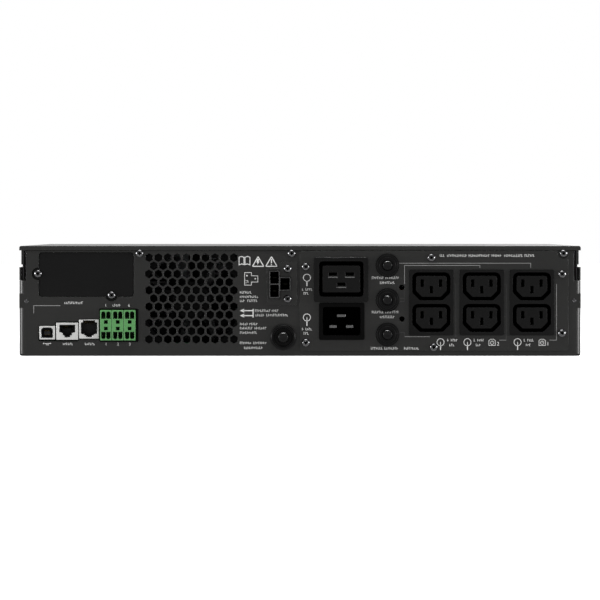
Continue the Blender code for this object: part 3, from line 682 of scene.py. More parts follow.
def c19_outlet():
    low, high = node_box("c19_outlet")
    face = low[1]
    outline = (low[0], low[2], high[0], high[2] + 0.9)
    x, z = 32.25, 60.0
    body = housing(outline, face, 2, (12.9, 43.8, 51.2, 74.4), 32, 1.0)
    outside = rounded(x - 17.4, z - 13.85, x + 17.4, z + 13.85, 3.0)
    inside = rounded(x - 14.6, z - 10.4, x + 14.6, z + 10.4, 1.0)
    cut(body, prism(outside, face - 1, face + 17, [inside]))
    contacts = []
    for dx, dz in ((-6.6, 3.9), (6.6, 3.9), (0, -4.0)):
        slot = rounded(x + dx - 3.1, z + dz - 1.25, x + dx + 3.1, z + dz + 1.25, 0.3, 2)
        cut(body, slot_recess(x + dx, z + dz - 0.4, 7.0, 3.4, face), prism(slot, face - 1, face + 16))
        contacts.append(contact_leaves(x + dx, z + dz, 6.2, 2.5, face))
    finish_piece("c19_module", body, OUTLET, node="c19_outlet")
    paint_shade_inside(body, face + 2)
    top = outline[3] - 1.1
    # Upward-facing bevels near the face get a lighter plastic, the flange's top edge a glossy one: painted
    # highlights.
    paint(body, OUTLET_HIGHLIGHT, lambda middle, normal: 0.25 < normal.z < 0.97 and middle.y < face + 0.8)
    paint(body, PAINTED_HIGHLIGHT, lambda middle, normal: 0.25 < normal.z and middle.y < face + 1 and middle.z > top)
    finish_piece("c19_contacts", gather(contacts), SHADED_CONTACT)


def c20_inlet():
    low, high = node_box("c20_inlet")
    face = low[1]
    floor = face + 20
    outline = (low[0], low[2], high[0], high[2])
    body = housing(outline, face, 1.5, (15.9, 14.2, 48.9, 40.0), 26, 0.6)
    cut(body, prism(rounded(17.7, 16.0, 47.2, 38.2, 2), face - 1, floor))
    for name in ("earth", "line", "neutral"):
        pin_low, pin_high = node_box(f"c20_pin_{name}")
        slot = (pin_low[0], pin_low[2], pin_high[0], pin_high[2])
        cut(body, prism(rectangle(*grown(slot, GAP)), floor - 1, floor + 7))
        blade = soften(prism(rounded(*slot, 0.4, 2), pin_low[1], pin_high[1]), 0.8, 4, 60)
        finish_piece(f"inlet_pin_{name}", blade, PIN, node=f"c20_pin_{name}")
    finish_piece("c20_housing", body, INLET, node="c20_inlet")
    paint_shade_inside(body, face + 2)


# ---- breakers
def fillet_profile(points, radius, steps=3):
    """A profile of (radius, y) points with its bends rounded, but not its two ends."""
    return filleted(points, [0] + [radius] * (len(points) - 2) + [0], steps)


def push_button(name, node, radius, crown):
    """A breaker's reset button with a domed edge; its upward-facing faces get a glossier plastic, a painted
    highlight.
    """
    x, _, z = node_middle(node)
    low, high = node_box(node)
    end, back = low[1], high[1]
    flat = radius - crown
    edge = [(flat + crown * sin(radians(a)), end + crown * (1 - cos(radians(a)))) for a in range(0, 91, 15)]
    dish = [(0, end + 0.35), (flat - 0.9, end + 0.3), (flat - 0.4, end + 0.05)]
    piece = turned([*dish, *edge, (radius, back), (0, back)], x, z)
    finish_piece(name, piece, RESET, node, node)
    # Painted highlight: the faces that look upwards get the glossy plastic.
    paint(piece, PAINTED_HIGHLIGHT, lambda middle, normal: normal.z > 0.5)


def output_breaker(number):
    key = f"breaker_button_{number}"
    x, _, z = node_middle(key)
    base = PLATE - GAP
    collar = [(0, base - 3.2), (6.3, base - 3.2), (6.3, base - 2.4), (8.2, base - 2.4), (8.2, base - 1.2)]
    collar += [(9.3, base - 1.2), (9.3, base), (5.8, base), (5.8, base + 4), (0, base + 4)]
    body = turned(fillet_profile(collar, 0.3, 2), x, z)
    join(body, box(x - 8, PLATE + SHEET + 0.3, z - 5.2, x + 8, base + 32, z + 5.2))
    bore = [(0, base - 4), (4.5, base - 4), (3.9, base - 2.6), (3.9, base + 14), (0, base + 14)]
    cut(body, turned(bore, x, z))
    node = f"breaker_body_{number}"
    finish_piece(f"output_breaker_{number}", body, BREAKER, node=node)
    push_button(f"reset_button_{number}", key, 3.6, 1.0)


def input_breaker():
    x, _, z = node_middle("input_breaker_button")
    base = REAR - GAP
    face = base - 4.6
    collar = [(0, face), (9.0, face), (10.1, face + 1.2), (10.1, base)]
    collar += [(6.0, base), (6.0, base + 3), (0, base + 3)]
    body = turned(fillet_profile(collar, 0.5, 3), x, z, 72)
    join(body, box(x - 10.5, REAR + 1.5, z - 10.5, x + 10.5, REAR + 36, z + 10.5))
    bore = [(0, face - 1), (7.7, face - 1), (7.5, face + 2.6), (4.3, face + 2.6)]
    bore += [(4.2, base + 14), (0, base + 14)]
    cut(body, turned(bore, x, z, 72))
    finish_piece("input_breaker", body, BREAKER, node="input_breaker_body")
    push_button("input_reset_button", "input_breaker_button", 3.9, 1.2)


# ---- battery socket and ports
def battery_socket():
    low, high = node_box("battery_socket")
    face = low[1]
    left, middle, right = -23.8, -16.0, -7.5
    outline = [(left, 45.2), (middle, 45.2), (middle, 51.1), (right, 51.1), (right, 61.2), (middle, 61.2),
               (middle, 66.3), (left, 66.3)]
    body = prism(filleted(outline, [0.8, 0.8, 0.3, 0.8, 0.8, 0.3, 0.8, 0.8]), face, high[1])
    dark, blades = [], []
    for cavity in ((-23.4, 56.3, -16.4, 65.9), (-23.4, 45.9, -16.4, 55.6), (-15.5, 51.5, -7.9, 60.8)):
        cut(body, prism(rounded(*cavity, 0.5, 2), face - 1, face + 14))
        # The cavities' walls and far ends are lined with dull black: painted shade.
        wall = (rounded(*cavity, 0.5, 2), rounded(*grown(cavity, -0.3), 0.4, 2))
        dark.append(prisms([wall], face + 0.5, face + 13.9))
        x, z = (cavity[0] + cavity[2]) / 2, (cavity[1] + cavity[3]) / 2
        dark.append(prism(rectangle(*grown(cavity, -0.3)), face + 13.2, face + 13.8))
        blade = prism(rectangle(x - 1.9, z - 0.5, x + 1.9, z + 0.5), face + 7, face + 13)
        blades.append(soften(blade, 0.25, 2, 60))
    finish_piece("external_battery_socket", body, SOCKET, node="battery_socket")
    finish_piece("battery_cavity_shade", gather(dark), PAINTED_SHADE)
    finish_piece("battery_contacts", gather(blades), SHADED_CONTACT)


def port(name, node, opening, inside, depth, gaps):
    """A port's tinned shell, its opening's dark lining, and a dull black sheet of painted shade in the gaps
    round the shell.

    The gaps are given as left, below, right and above.
    """
    low, high = node_box(node)
    face = low[1]
    left, under, right, over = gaps
    shell = box(low[0] + left, face, low[2] + under, high[0] - right, high[1], high[2] - over)
    soften(shell, 0.3, 2)
    cut(shell, prism(opening, face - 1, face + depth))
    finish_piece(f"{name}_shell", shell, PORT, node=node)
    wall = prism(offset(opening, -0.03), face + 0.15, face + depth - 0.1, [offset(opening, -inside)])
    end = prism(offset(opening, -0.04), face + depth - 1.2, face + depth - 0.3)
    finish_piece(f"{name}_lining", gather([wall, end]), LINING)
    around = rectangle(low[0] + 0.02, low[2] + 0.02, high[0] - 0.02, high[2] - 0.02)
    within = rectangle(low[0] + left - 0.03, low[2] + under - 0.03,
                       high[0] - right + 0.03, high[2] - over + 0.03)
    # A dull black sheet in the gaps round the shell: painted shade.
    gap_shade = prisms([(around, within)], face + 1.5, face + 3)
    finish_piece(f"{name}_gasket", gap_shade, PAINTED_SHADE)
    return face


def usb_port():
    x, z = -197.3, 17.9
    half = [(4.7, z - 3.9), (4.7, z + 2.6), (3.1, z + 4.3)]
    face = port("usb", "usb_port", filleted(mirrored(half, x), 0.3, 2), 0.45, 11, (0.4, 0.9, 0.15, 0.2))
    tongue = prism(rectangle(x - 2.6, z - 1.4, x + 2.6, z + 1.4), face + 2.5, face + 9.5)
    finish_piece("usb_tongue", soften(tongue, 0.3), LINING)
    middles = [(x + side * 1.2, z + level * 1.52) for side in (-1, 1) for level in (-1, 1)]
    pads = [rectangle(u - 0.5, v - 0.1, u + 0.5, v + 0.1) for u, v in middles]
    finish_piece("usb_contacts", prisms(pads, face + 3.5, face + 9), GOLD)


def jack(name, x, half, top, gaps):
    """A modular jack with its row of eight springs."""
    face = port(name, f"{name}_jack", filleted(mirrored(half, x), 0.15, 2), 0.4, 13, gaps)
    springs = []
    for index in range(8):
        middle = x + (index - 3.5) * 1.0
        bm = bmesh.new()
        path = stroke([(face + 3.2, top - 0.9), (face + 6.5, top - 3.0), (face + 11.5, top - 1.2)], 0.3)
        prism_into(bm, path, middle - 0.2, middle + 0.2, axis="X")
        springs.append(solid(bm))
    finish_piece(f"{name}_springs", gather(springs), GOLD)


def jacks():
    low_jack = [(2.2, 14.4), (2.2, 15.8), (3.6, 16.2), (3.6, 17.7), (5.1, 18.3), (6.2, 18.3), (6.2, 24.3)]
    tall_jack = [(2.2, 14.6), (2.2, 15.8), (3.8, 16.1), (3.8, 16.9), (5.6, 17.0), (6.4, 17.8), (6.4, 26.0),
                 (4.8, 26.3), (4.8, 27.8)]
    jack("rs485", -181.5, low_jack, 24.3, (0.5, 0.9, 0.2, 0.6))
    jack("rs232", -164.5, tall_jack, 27.8, (0.2, 0.2, 0.1, 0.1))


def terminals():
    low, high = node_box("terminal_header")
    face = low[1]
    first, last = node_box("terminal_plug_1")[0], node_box("terminal_plug_3")[1]
    cavity = (first[0] - GAP, first[2] - GAP, last[0] + GAP, last[2] + GAP)
    header = prism(filleted(rectangle(low[0], low[2], high[0], high[2]), 0.4), face, high[1])
    cut(header, prism(rectangle(*cavity), face - 1, REAR + 14))
    finish_piece("plug_header", header, INLET, node="terminal_header")
    for number in (1, 2, 3):
        terminal_plug(number)


def wire_entry(x, z, width, height, up):
    """A wire entry: a flat end and a round one."""
    radius = width / 2
    low, top = z - height / 2, z + height / 2
    points = [(x - radius, low), (x + radius, low), *arc(x, top - radius, radius, 0, 180, 8)]
    return points if up else [(u, 2 * z - v) for u, v in points]


def terminal_plug(number):
    node = f"terminal_plug_{number}"
    low, high = node_box(node)
    face = low[1]
    middle = (low[0] + high[0]) / 2
    body = soften(box(low[0], face, low[2], high[0], high[1], high[2]), 0.35, 2)
    # The walls inside the wire entries and the clamps get the darker green: painted shade.
    dark = []
    for x in (middle - 1.95, middle + 1.95):
        for z, up in ((high[2] - 3.9, True), (low[2] + 3.9, False)):
            entry = wire_entry(x, z, 3.45, 5.8, up)
            cut(body, prism(entry, face - 1, face + 9))
            ring_wall = wire_entry(x, z, 2.85, 5.2, up)
            dark += [prisms([(entry, ring_wall)], face + 0.7, face + 8.9),
                     prism(rectangle(x - 1.2, z - 1.6, x + 1.2, z + 1.6), face + 5, face + 8)]
    for z in (high[2] - 9.3, low[2] + 9.3):
        square = (middle - 1.5, z - 1.4, middle + 1.5, z + 1.4)
        cut(body, prism(rounded(*square, 0.3, 2), face - 1, face + 7))
        wall = (rounded(*square, 0.3, 2), rounded(*grown(square, -0.3), 0.2, 2))
        clamp = prism(circle(middle, z, 1.1, 20), face + 4, face + 6)
        dark += [prisms([wall], face + 0.7, face + 6.9), clamp]
    finish_piece(f"green_plug_{number}", body, GREEN, node, node)
    finish_piece(f"plug_insides_painted_shade_{number}", gather(dark), SHADED_GREEN, node)


# ---- printing on the rear
def printed(name, shapes, face, look):
    """Ink on the rear: outlines a hair's breadth in front of a face."""
    finish_piece(name, prisms(shapes, face - CLEAR - INK, face - CLEAR), look)


def word_blocks(left, right, z, height=2.0):
    """One printed word that can't be read: bars with a small block beside each, at one of three heights."""
    blocks, x, stem = [], left, 0.32
    while x < right - 0.7:
        tall = height * dice.choice((0.8, 1.0, 1.0))
        blocks.append(rectangle(x, z, x + stem, z + tall))
        side = dice.uniform(0.36, 0.60)
        level = z + dice.choice((0.0, 0.42, 0.78)) * (tall - 0.1)
        blocks.append(rectangle(x + stem + 0.12, level, x + stem + 0.12 + side, level + 0.38))
        x += stem + side + 0.52
    return blocks


def text_rows(rows, height=2.0):
    """Rows of unreadable words, each given as (left, bottom, lengths of its words)."""
    blocks = []
    for left, bottom, words in rows:
        x = left
        for length in words:
            blocks += word_blocks(x, x + length, bottom, height)
            x += length + 1.4
    return blocks


def digit(name, text, x, z, face, height=2.2):
    """A plain number, printed."""
    curve = bpy.data.curves.new(name, "FONT")
    curve.body = text
    curve.size = height * 1.38 * MM
    curve.align_x = "CENTER"
    curve.extrude = INK / 2 * MM
    made = placed(name, curve)
    made.rotation_euler = (pi / 2, 0, 0)
    made.location = (x * MM, (face - INK / 2 - CLEAR) * MM, z * MM)
    bpy.context.view_layer.update()
    graph = bpy.context.evaluated_depsgraph_get()
    mesh = bpy.data.meshes.new_from_object(made.evaluated_get(graph))
    mesh.transform(made.matrix_world)
    bpy.data.objects.remove(made)
    finish_piece(name, placed(name, mesh), WHITE_INK)


def closed_line(points, width):
    """A line of a width along the inside of a closed counterclockwise outline."""
    return (points, offset(points, -width))


def ring(x, z, radius, width, steps=40):
    return closed_line(circle(x, z, radius, steps), width)


def outlet_sign(x, z, radius, stem_top, stem_end):
    """A ring with a stem: the sign for an output or an input."""
    stem = [(x, stem_top), (x, z - radius + 0.2), (x, stem_end)]
    return [ring(x, z, radius, 0.46), stroke(stem[:2], 0.4), stroke(stem[1:], 0.72)]


def group_sign(x, z):
    """A frame round a ring: the sign of a switched outlet group."""
    house = [(x - 2.7, z - 2.6), (x + 2.7, z - 2.6), (x + 2.7, z + 1.5), (x + 1.2, z + 2.6),
             (x - 1.2, z + 2.6), (x - 2.7, z + 1.5)]
    stem = stroke([(x, z - 0.2), (x, z + 1.5)], 0.34)
    return [closed_line(house, 0.38), ring(x, z - 0.3, 1.5, 0.36, 24), stem]


LINE = 0.40  # width of the printed lines


def lines(paths, width=LINE):
    return [stroke(path, width) for path in paths]


def output_printing():
    clear = lines([
        [(77.2, 72.3), (179.9, 72.3), (179.9, 68.6)],
        [(81.5, 56.0), (81.5, 70.55), (140.3, 70.55), (140.3, 68.6)],
        [(81.5, 15.0), (101.4, 15.0)],
        [(200.05, 56.1), (200.05, 12.3), (194.6, 12.3)],
        [(155.5, 12.3), (160.85, 12.3)],
    ])
    faint = lines([[(78.0, 44.9), (81.4, 44.9)], [(78.0, 42.5), (81.4, 42.5)]])
    faint += lines([[(81.5, 42.5), (81.5, 50.8)]], LINE * 0.6)
    faint += lines([
        [(78.0, 18.3), (81.5, 18.3), (81.5, 15.0)],
        [(121.45, 56.1), (121.45, 14.8)],
        [(160.85, 56.1), (160.85, 12.3)],
    ])
    faint += lines([[(x - 2.0, z), (x, z)] for x in (121.45, 160.85, 200.05) for z in (56.0, 30.9)])
    printed("printed_lines", clear, PLATE, GREY_INK)
    printed("printed_faint_lines", faint, PLATE, FAINT_INK)
    signs = outlet_sign(5.4, 61.0, 3.0, 58.4, 54.4) + outlet_sign(5.4, 30.0, 3.0, 30.2, 23.4)
    for x in (109.6, 130.6, 169.7):
        signs += outlet_sign(x, 10.7, 3.0, 10.9, 4.6)
    for x in (149.8, 188.9):
        signs += group_sign(x, 10.6)
    printed("printed_signs", signs, PLATE, WHITE_INK)
    rows = [(109.1, 77.3, (4.2, 15.5, 16.5, 8.5, 14.4, 8.4)), (1.6, 51.0, (1.4, 5.2)), (2.9, 47.8, (4.6,)),
            (1.6, 19.9, (1.4, 5.2)), (2.9, 16.6, (4.6,))]
    for bottom in (60.0, 33.3):
        rows += [(56.1, bottom, (9.2, 10.4)), (62.4, bottom - 3.8, (11.2,))]
    rows += [(55.3, 5.0, (9.2, 10.4)), (81.2, 5.0, (11.4,))]
    for left in (114.9, 135.6, 174.6):
        rows += [(left, 11.3, (1.4, 5.2)), (left + 1.6, 7.6, (4.6,))]
    printed("printed_words_output", text_rows(rows), PLATE, WHITE_INK)
    digit("group_number_2", "2", 154.4, 8.2, PLATE, 2.8)
    digit("group_number_1", "1", 193.3, 8.2, PLATE, 2.8)


def book_sign(x, z):
    """An open book: the sign for reading the manual."""
    page = [(0.12, -3.3), (2.2, -2.6), (4.5, -3.5), (4.5, 3.1), (2.3, 3.8), (0.12, 3.0)]
    right = [(x + u, z + v) for u, v in page]
    left = [(2 * x - u, v) for u, v in reversed(right)]
    return [closed_line(right, 0.56), closed_line(left, 0.56)]


def triangle_sign(x, z, inner):
    outer = filleted([(x - 5.0, z - 3.9), (x + 5.0, z - 3.9), (x, z + 4.8)], 0.6, 3)
    return [closed_line(outer, 0.72), *inner]


def panel_printing():
    signs = book_sign(-43.3, 74.1)
    bolt = [(-33.3, 75.6), (-31.9, 75.6), (-32.5, 73.6), (-31.6, 73.6),
            (-33.5, 70.8), (-33.0, 72.8), (-33.9, 72.8)]
    signs += triangle_sign(-32.7, 73.4, [bolt[::-1]])
    call = [rectangle(-22.7, 72.2, -21.9, 75.6), rectangle(-22.7, 70.7, -21.9, 71.5)]
    signs += triangle_sign(-22.3, 73.4, call)
    printed("printed_panel_signs", signs, REAR, WHITE_INK)
    connector = [(-43.4, 55.0), (-37.7, 55.0), (-37.7, 57.4), (-32.7, 57.4), (-32.7, 62.7), (-37.7, 62.7),
                 (-37.7, 65.2), (-43.4, 65.2)]
    marks = [closed_line(connector, 0.42), circle(-41.4, 62.6, 0.6, 16), circle(-34.9, 60.2, 0.6, 16)]
    marks += lines([[(-42.4, 58.6), (-40.6, 58.6), (-40.6, 57.0)], [(-42.4, 57.0), (-41.6, 57.0)]])
    for z in (35.3, 31.4):
        marks += [stroke([(-44.4, z), (-37.0, z)], 0.8), [(-46.9, z), (-43.6, z - 1.5), (-43.6, z + 1.5)]]
    marks.append(stroke([(-36.6, 36.6), (-36.6, 29.9)], 0.8))
    printed("printed_marks", marks, REAR, WHITE_INK)
    rows = [(-46.8, 48.6, (9.8,)), (-46.8, 45.2, (14.6,)), (-46.8, 42.1, (4.4, 8.2)),
            (-35.1, 34.3, (11.8, 6.0)), (-34.6, 30.9, (7.0, 16.6)),
            (-46.8, 24.0, (6.0, 6.0)), (-46.8, 20.7, (10.0, 9.0)), (-46.8, 17.2, (13.8,)),
            (-46.8, 9.2, (9.0, 10.2)), (-43.6, 5.4, (14.4,)), (-183.7, 40.5, (14.6,)),
            (-146.1, 38.5, (6.4,)), (-184.9, 8.4, (7.6,)), (-167.7, 8.4, (7.6,))]
    printed("printed_words_panel", text_rows(rows, 1.9), REAR, WHITE_INK)
    printed("slot_mark", [stroke([(-186.9, 39.2), (-207.7, 39.2), (-207.7, 33.2)], 0.45)], REAR, GREY_INK)
    plug_sign = [stroke([(-200.0, 9.7), (-195.0, 9.7)], 0.35), circle(-200.0, 9.7, 0.55, 20),
                 stroke([(-198.6, 9.7), (-197.7, 8.6), (-196.6, 8.6)], 0.35), circle(-196.4, 8.6, 0.4, 16),
                 [(-193.9, 9.7), (-195.0, 10.2), (-195.0, 9.2)]]
    printed("port_sign", plug_sign, REAR, WHITE_INK)
    for index, x in enumerate((-151.3, -142.0, -132.8)):
        digit(f"terminal_number_{index + 1}", str(index + 1), x, 8.1, REAR)
    digit("terminal_row_first", "1", -151.5, 38.4, REAR)
    digit("terminal_row_last", "6", -133.4, 38.4, REAR)


# ---- fan and power electronics
def fan():
    """The fan's rotor, with curved and twisted blades."""
    x, _, z = node_middle("fan_rotor")
    low, high = node_box("fan_rotor")
    near, far = low[1], high[1]
    hub = [(0, near), (12.5, near), (14.2, near + 0.5), (15, near + 1.6), (15, far), (0, far)]
    badge = [(0, near - 0.15), (9, near - 0.15), (9, near + 0.1), (0, near + 0.1)]
    parts = [turned(hub, x, z, 64), turned(badge, x, z)]
    blades, steps, strips = 7, 6, 5
    root, reach, twist = 14.0, 22.5, 0.56
    for blade in range(blades):
        bm = bmesh.new()
        rows = []
        for step in range(steps + 1):
            radius = root + reach * step / steps
            lead = 2 * pi * blade / blades + 0.10 + 0.010 * (radius - root) - 0.0004 * (radius - root) ** 2
            row = []
            for place in range(strips + 1):
                part = place / strips
                y = near + 2.2 + (far - near - 3.4) * (part ** 1.25)
                angle = lead + twist * part
                row.append((x + radius * cos(angle), y, z + radius * sin(angle)))
            rows.append([bm.verts.new(point) for point in row])
        for one, other in zip(rows, rows[1:]):
            for i in range(strips):
                bm.faces.new((one[i], one[i + 1], other[i + 1], other[i]))
        sheet = solid(bm)
        thick = sheet.modifiers.new("thick", "SOLIDIFY")
        thick.thickness = 1.3 * MM
        thick.offset = 0
        parts.append(settle(sheet))
    finish_piece("rotor", gather(parts), SHADED_FAN_PLASTIC, "fan_rotor", "fan_rotor", 50)


def transformer():
    low, high = node_box("transformer")
    core = soften(prism(rectangle(low[0], low[2], high[0], high[2]), low[1] + 14, high[1] - 14), 1.0)
    window = (low[0] + 9, low[2] + 8, high[0] - 9, high[2] - 8)
    cut(core, prism(rounded(*window, 2), low[1], high[1]))
    finish_piece("transformer_core", core, CORE_STEEL, node="transformer")
    shapes = []
    for turn in range(9):
        y = low[1] + 1.2 + turn * (high[1] - low[1] - 4.4) / 8
        outline = rounded(*grown(window, -0.4 - 0.5 * (turn % 2)), 7, 8)
        shapes.append(soften(prism(outline, y - 0.9, y + 4.4), 0.8, 2, 60))
    finish_piece("transformer_winding", gather(shapes), COPPER)


def turned_upright(profile, x, y, steps=48):
    """A profile of (radius, z) points turned about a vertical axis."""
    made = turned(profile, 0, 0, steps)
    made.data.transform(Matrix.Translation(Vector((x, y, 0)) * MM) @ Matrix.Rotation(pi / 2, 4, "X"))
    return made


def capacitor():
    x, y, _ = node_middle("capacitor")
    low, high = node_box("capacitor")
    foot, head = low[2], high[2]
    can = [(0, foot), (16.6, foot), (17.5, foot + 1), (17.5, foot + 4), (16.6, foot + 5), (17.5, foot + 6)]
    can += [(17.5, head - 2.2), (17.1, head - 1.2), (15.6, head - 1.2), (15.2, head - 2.4), (0, head - 2.4)]
    can = turned_upright(can, x, y)
    finish_piece("capacitor_can", can, SLEEVE, node="capacitor")
    post = [(0, head - 2.5), (4, head - 2.5), (4, head - 1), (2.6, head - 0.9),
            (2.6, head - 0.1), (0, head - 0.1)]
    posts = [turned_upright(post, x + side * 7, y, 24) for side in (-1, 1)]
    finish_piece("capacitor_posts", gather(posts), PIN)


def transistors():
    """Flat packages screwed on the base of each heatsink."""
    packages = []
    for node in ("heatsink_1", "heatsink_2"):
        x, start, _ = node_box(node)[0]
        for index in range(5):
            y = start + 16 + index * 29
            packages.append(soften(box(x - 5, y, 20, x - 0.2, y + 15.5, 40), 0.5))
            for leg in (0, 4.6, 9.2):
                packages.append(box(x - 3, y + 2.5 + leg, 9.8, x - 2.2, y + 3.8 + leg, 20.2))
    finish_piece("transistors", gather(packages), CHIP)


def board_parts():
    """Relays, film capacitors and small capacitors standing on the power board, and chips on the other
    boards.
    """
    top = node_box("main_board")[1][2]
    foot = top + 0.1
    relays, films, cans = [], [], []
    for x, y in ((105, -110), (105, -80), (105, -215), (-10, -150), (-10, -120)):
        relays.append(soften(box(x, y, foot, x + 26, y + 14, top + 22), 0.8))
    for x, y in ((-196, -110), (-196, -85), (-165, -110), (-165, -85), (182, -215), (182, -190)):
        films.append(soften(box(x, y, foot, x + 18, y + 9, top + 15), 1.2, 3))
    for x, y in (*((x, -60) for x in (-30, -10, 10, 120, 140, 160)), (180, -100), (180, -130)):
        tall = top + dice.uniform(22, 30)
        rim = [(0, foot), (7.2, foot), (7.2, tall - 1), (6.6, tall), (5.6, tall)]
        rim += [(5.2, tall - 0.7), (0, tall - 0.7)]
        cans.append(turned_upright(rim, x, y, 28))
    finish_piece("relays", gather(relays), CHIP)
    finish_piece("film_capacitors", gather(films), RED)
    finish_piece("small_capacitors", gather(cans), SLEEVE)
    low, high = node_box("comm_board")
    x, y = low[0], high[1]
    chips = [box(x + 8 + 17 * i, y + 0.05, 28, x + 18 + 17 * i, y + 1.6, 38) for i in range(4)]
    x, y, _ = node_box("display_board")[0]
    chips += [box(x + 12 + 24 * i, y - 1.8, 40, x + 26 + 24 * i, y - 0.05, 54) for i in range(4)]
    finish_piece("board_chips", gather(chips), CHIP)


# ---- battery drawer
def battery_block(number):
    """A sealed block lying on its side: case, lid with a seam, plain label and two tabs."""
    node = f"battery_block_{number}"
    body = "battery_drawer"
    (x0, y0, z0), (x1, y1, z1) = node_box(node)
    lid = y1 - 13
    case = soften(box(x0, y0, z0, x1, lid - 0.7, z1), 1.6, 3)
    seam = box(x0 + 0.8, lid - 1.6, z0 + 0.8, x1 - 0.8, lid + 1, z1 - 0.8)
    cover = soften(box(x0, lid, z0, x1, y1 - 2.4, z1), 1.4, 3)
    vent = soften(box(x0 + 24, y1 - 2.6, z0 + 14, x1 - 24, y1 - 0.6, z1 - 14), 0.8, 2)
    for x in (x0 + 12, x1 - 12):
        cut(cover, box(x - 7, y1 - 8, z0 + 8, x + 7, y1, z0 + 24))
    ribs = [box(x0 + 10 + i * 13.2, y0 + 6, z1 - 0.25, x0 + 11.2 + i * 13.2, y0 + 14, z1 - 0.02)
            for i in range(11)]
    whole = gather([case, seam, cover, vent, *ribs])
    finish_piece(f"block_{number}_case", whole, BATTERY, body, node)
    tabs = [box(x - 0.4, y1 - 8.5, z0 + 12.8, x + 0.4, y1 - 1.0, z0 + 19.2) for x in (x0 + 12, x1 - 12)]
    finish_piece(f"block_{number}_tabs", gather(tabs), PIN, body)
    base = box(x1 - 16.5, y1 - 7.9, z0 + 8.5, x1 - 7.5, y1 - 7.0, z0 + 23.5)
    finish_piece(f"block_{number}_mark", base, RED, body)
    label = prism(rounded(x0 + 22, y0 + 22, x1 - 22, lid - 14, 3), z1 - 0.15, z1 + 0.05, axis="Z")
    finish_piece(f"block_{number}_label", label, LABEL, body)


# ---- front
def front_print(name, shapes, face, look, body):
    """Ink on a face that looks towards +Y."""
    finish_piece(name, prisms(shapes, face + CLEAR, face + CLEAR + INK), look, body)


def power_button():
    node = "power_button"
    x, _, z = node_middle(node)
    low, high = node_box(node)
    inner, end = low[1], high[1] - 0.1
    profile = [(0, inner), (7.6, inner), (7.6, inner + 2), (6.2, inner + 2), (6.2, end - 0.8)]
    profile += [(6.0, end - 0.3), (5.6, end - 0.05), (4.8, end - 0.25), (0, end - 0.45)]
    finish_piece("power_key", turned(profile, x, z, 64), MENU, node, node)
    broken = [(x + 2.6 * sin(radians(a)), z + 2.6 * cos(radians(a))) for a in range(35, 326, 10)]
    symbol = lines([broken, [(x, z + 0.4), (x, z + 3.4)]], 0.55)
    front_print("power_symbol", symbol, end - 0.3, WHITE_INK, node)


def menu_button(node, shapes):
    low, high = node_box(node)
    x, _, z = node_middle(node)
    end = high[1] - 0.1
    pill = rounded(x - 6, z - 3, x + 6, z + 3, 2.9, 8)
    cap = soften(prism(pill, low[1] + 1.9, end), 0.5, 3, 60)
    join(cap, prism(rounded(x - 7.3, z - 4.3, x + 7.3, z + 4.3, 3), low[1], low[1] + 2))
    finish_piece(node.replace("button", "key"), cap, MENU, node, node)
    symbol = [[(x - u, z + v) for u, v in shape] for shape in shapes]
    front_print(node.replace("button", "symbol"), symbol, end - 0.01, WHITE_INK, node)


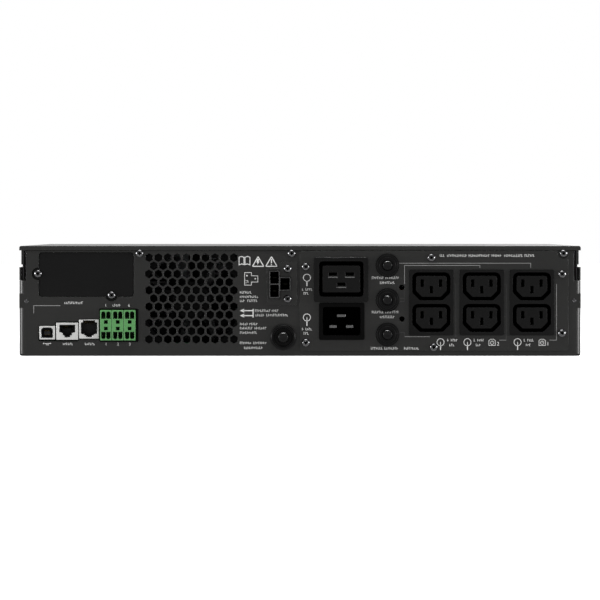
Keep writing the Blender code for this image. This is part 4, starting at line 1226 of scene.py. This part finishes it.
def front():
    power_button()
    menu_button("up_button", [[(-1.7, -1.0), (1.7, -1.0), (0, 1.3)]])
    menu_button("down_button", [[(-1.7, 1.0), (0, -1.3), (1.7, 1.0)]])
    hook = stroke([(1.9, 1.3), (1.9, -0.3), (-1.0, -0.3)], 0.5)
    menu_button("enter_button", [hook, [(-2.2, -0.3), (-0.8, -1.3), (-0.8, 0.7)]])
    low, high = node_box("display_window")
    face = high[1]
    middle = (low[0] + high[0]) / 2
    battery = closed_line(rounded(middle - 9, 47, middle + 9, 57, 1.5, 4), 0.6)
    lit = [battery, rectangle(middle - 11, 50, middle - 9.4, 54)]
    lit += [rectangle(middle - 7.2 + i * 3.9, 48.6, middle - 4.6 + i * 3.9, 55.4) for i in range(4)]
    lit += [rectangle(low[0] + 6, 41 + i * 3.8, low[0] + 9 + 1.6 * i, 43.2 + i * 3.8) for i in range(6)]
    lit += [rectangle(high[0] - 9 - 1.6 * i, 41 + i * 3.8, high[0] - 6, 43.2 + i * 3.8) for i in range(6)]
    wave = [(-16, 64), (-10, 64), (-8, 66), (-4, 62), (-2, 64), (16, 64)]
    lit.append(stroke([(middle + x, z) for x, z in wave], 0.5))
    front_print("display_segments", lit, face, LIT, "chassis")


def bezel_edges():
    """Rounded copies of the bezel and the battery cover, and the dust screen behind the cover's air slots."""
    for node, name, body, width in (("front_bezel", "bezel", "chassis", 0.8),
                                    ("battery_cover", "drawer_cover", "battery_cover", 0.6)):
        copy = placed(name, nodes[node].data.copy())
        soften(copy, width, 3, 50)
        finish_piece(name, copy, BEZEL, body, node)
    low, high = node_box("battery_cover")
    y = high[1] - 4.6
    pitch = 1.2
    threads = [rectangle(low[0] + 4 + i * pitch, low[2] + 4, low[0] + 4.5 + i * pitch, high[2] - 4)
               for i in range(256)]
    across = [rectangle(low[0] + 4, low[2] + 5 + i * pitch, high[0] - 4, low[2] + 5.5 + i * pitch)
              for i in range(58)]
    mesh = gather([prisms(threads, y, y + 0.3), prisms(across, y + 0.35, y + 0.65)])
    finish_piece("dust_screen", mesh, SHADED_FAN_PLASTIC, "battery_cover")


# ---- carried-over CAD nodes
CARRIED = {
    STEEL_BODY: ("chassis_base", "top_cover"),
    STEEL: ("rear_panel", "output_panel", "battery_socket_plate"),
    STEEL_DARK: ("card_slot_cover",),
    ZINC: ("battery_bay_wall", "battery_tray"),
    BOARD: ("main_board", "comm_board", "display_board"),
    SHADED_ANODISED: ("heatsink_1", "heatsink_2"),
    SHADED_FAN_PLASTIC: ("fan_frame",),
    SCREEN: ("display_window",),
}


def carried_nodes():
    for look, names in CARRIED.items():
        for name in names:
            nodes[name].data.materials.clear()
            nodes[name].data.materials.append(look)


camera()
studio()
carried_nodes()
screws()
rivets()
for module in (1, 2, 3):
    c13_outlets(module)
    output_breaker(module)
c19_outlet()
c20_inlet()
input_breaker()
battery_socket()
usb_port()
jacks()
terminals()
output_printing()
panel_printing()
fan()
transformer()
capacitor()
transistors()
board_parts()
for block in range(1, 7):
    battery_block(block)
front()
bezel_edges()
bpy.data.objects.remove(SCREW_BODY)
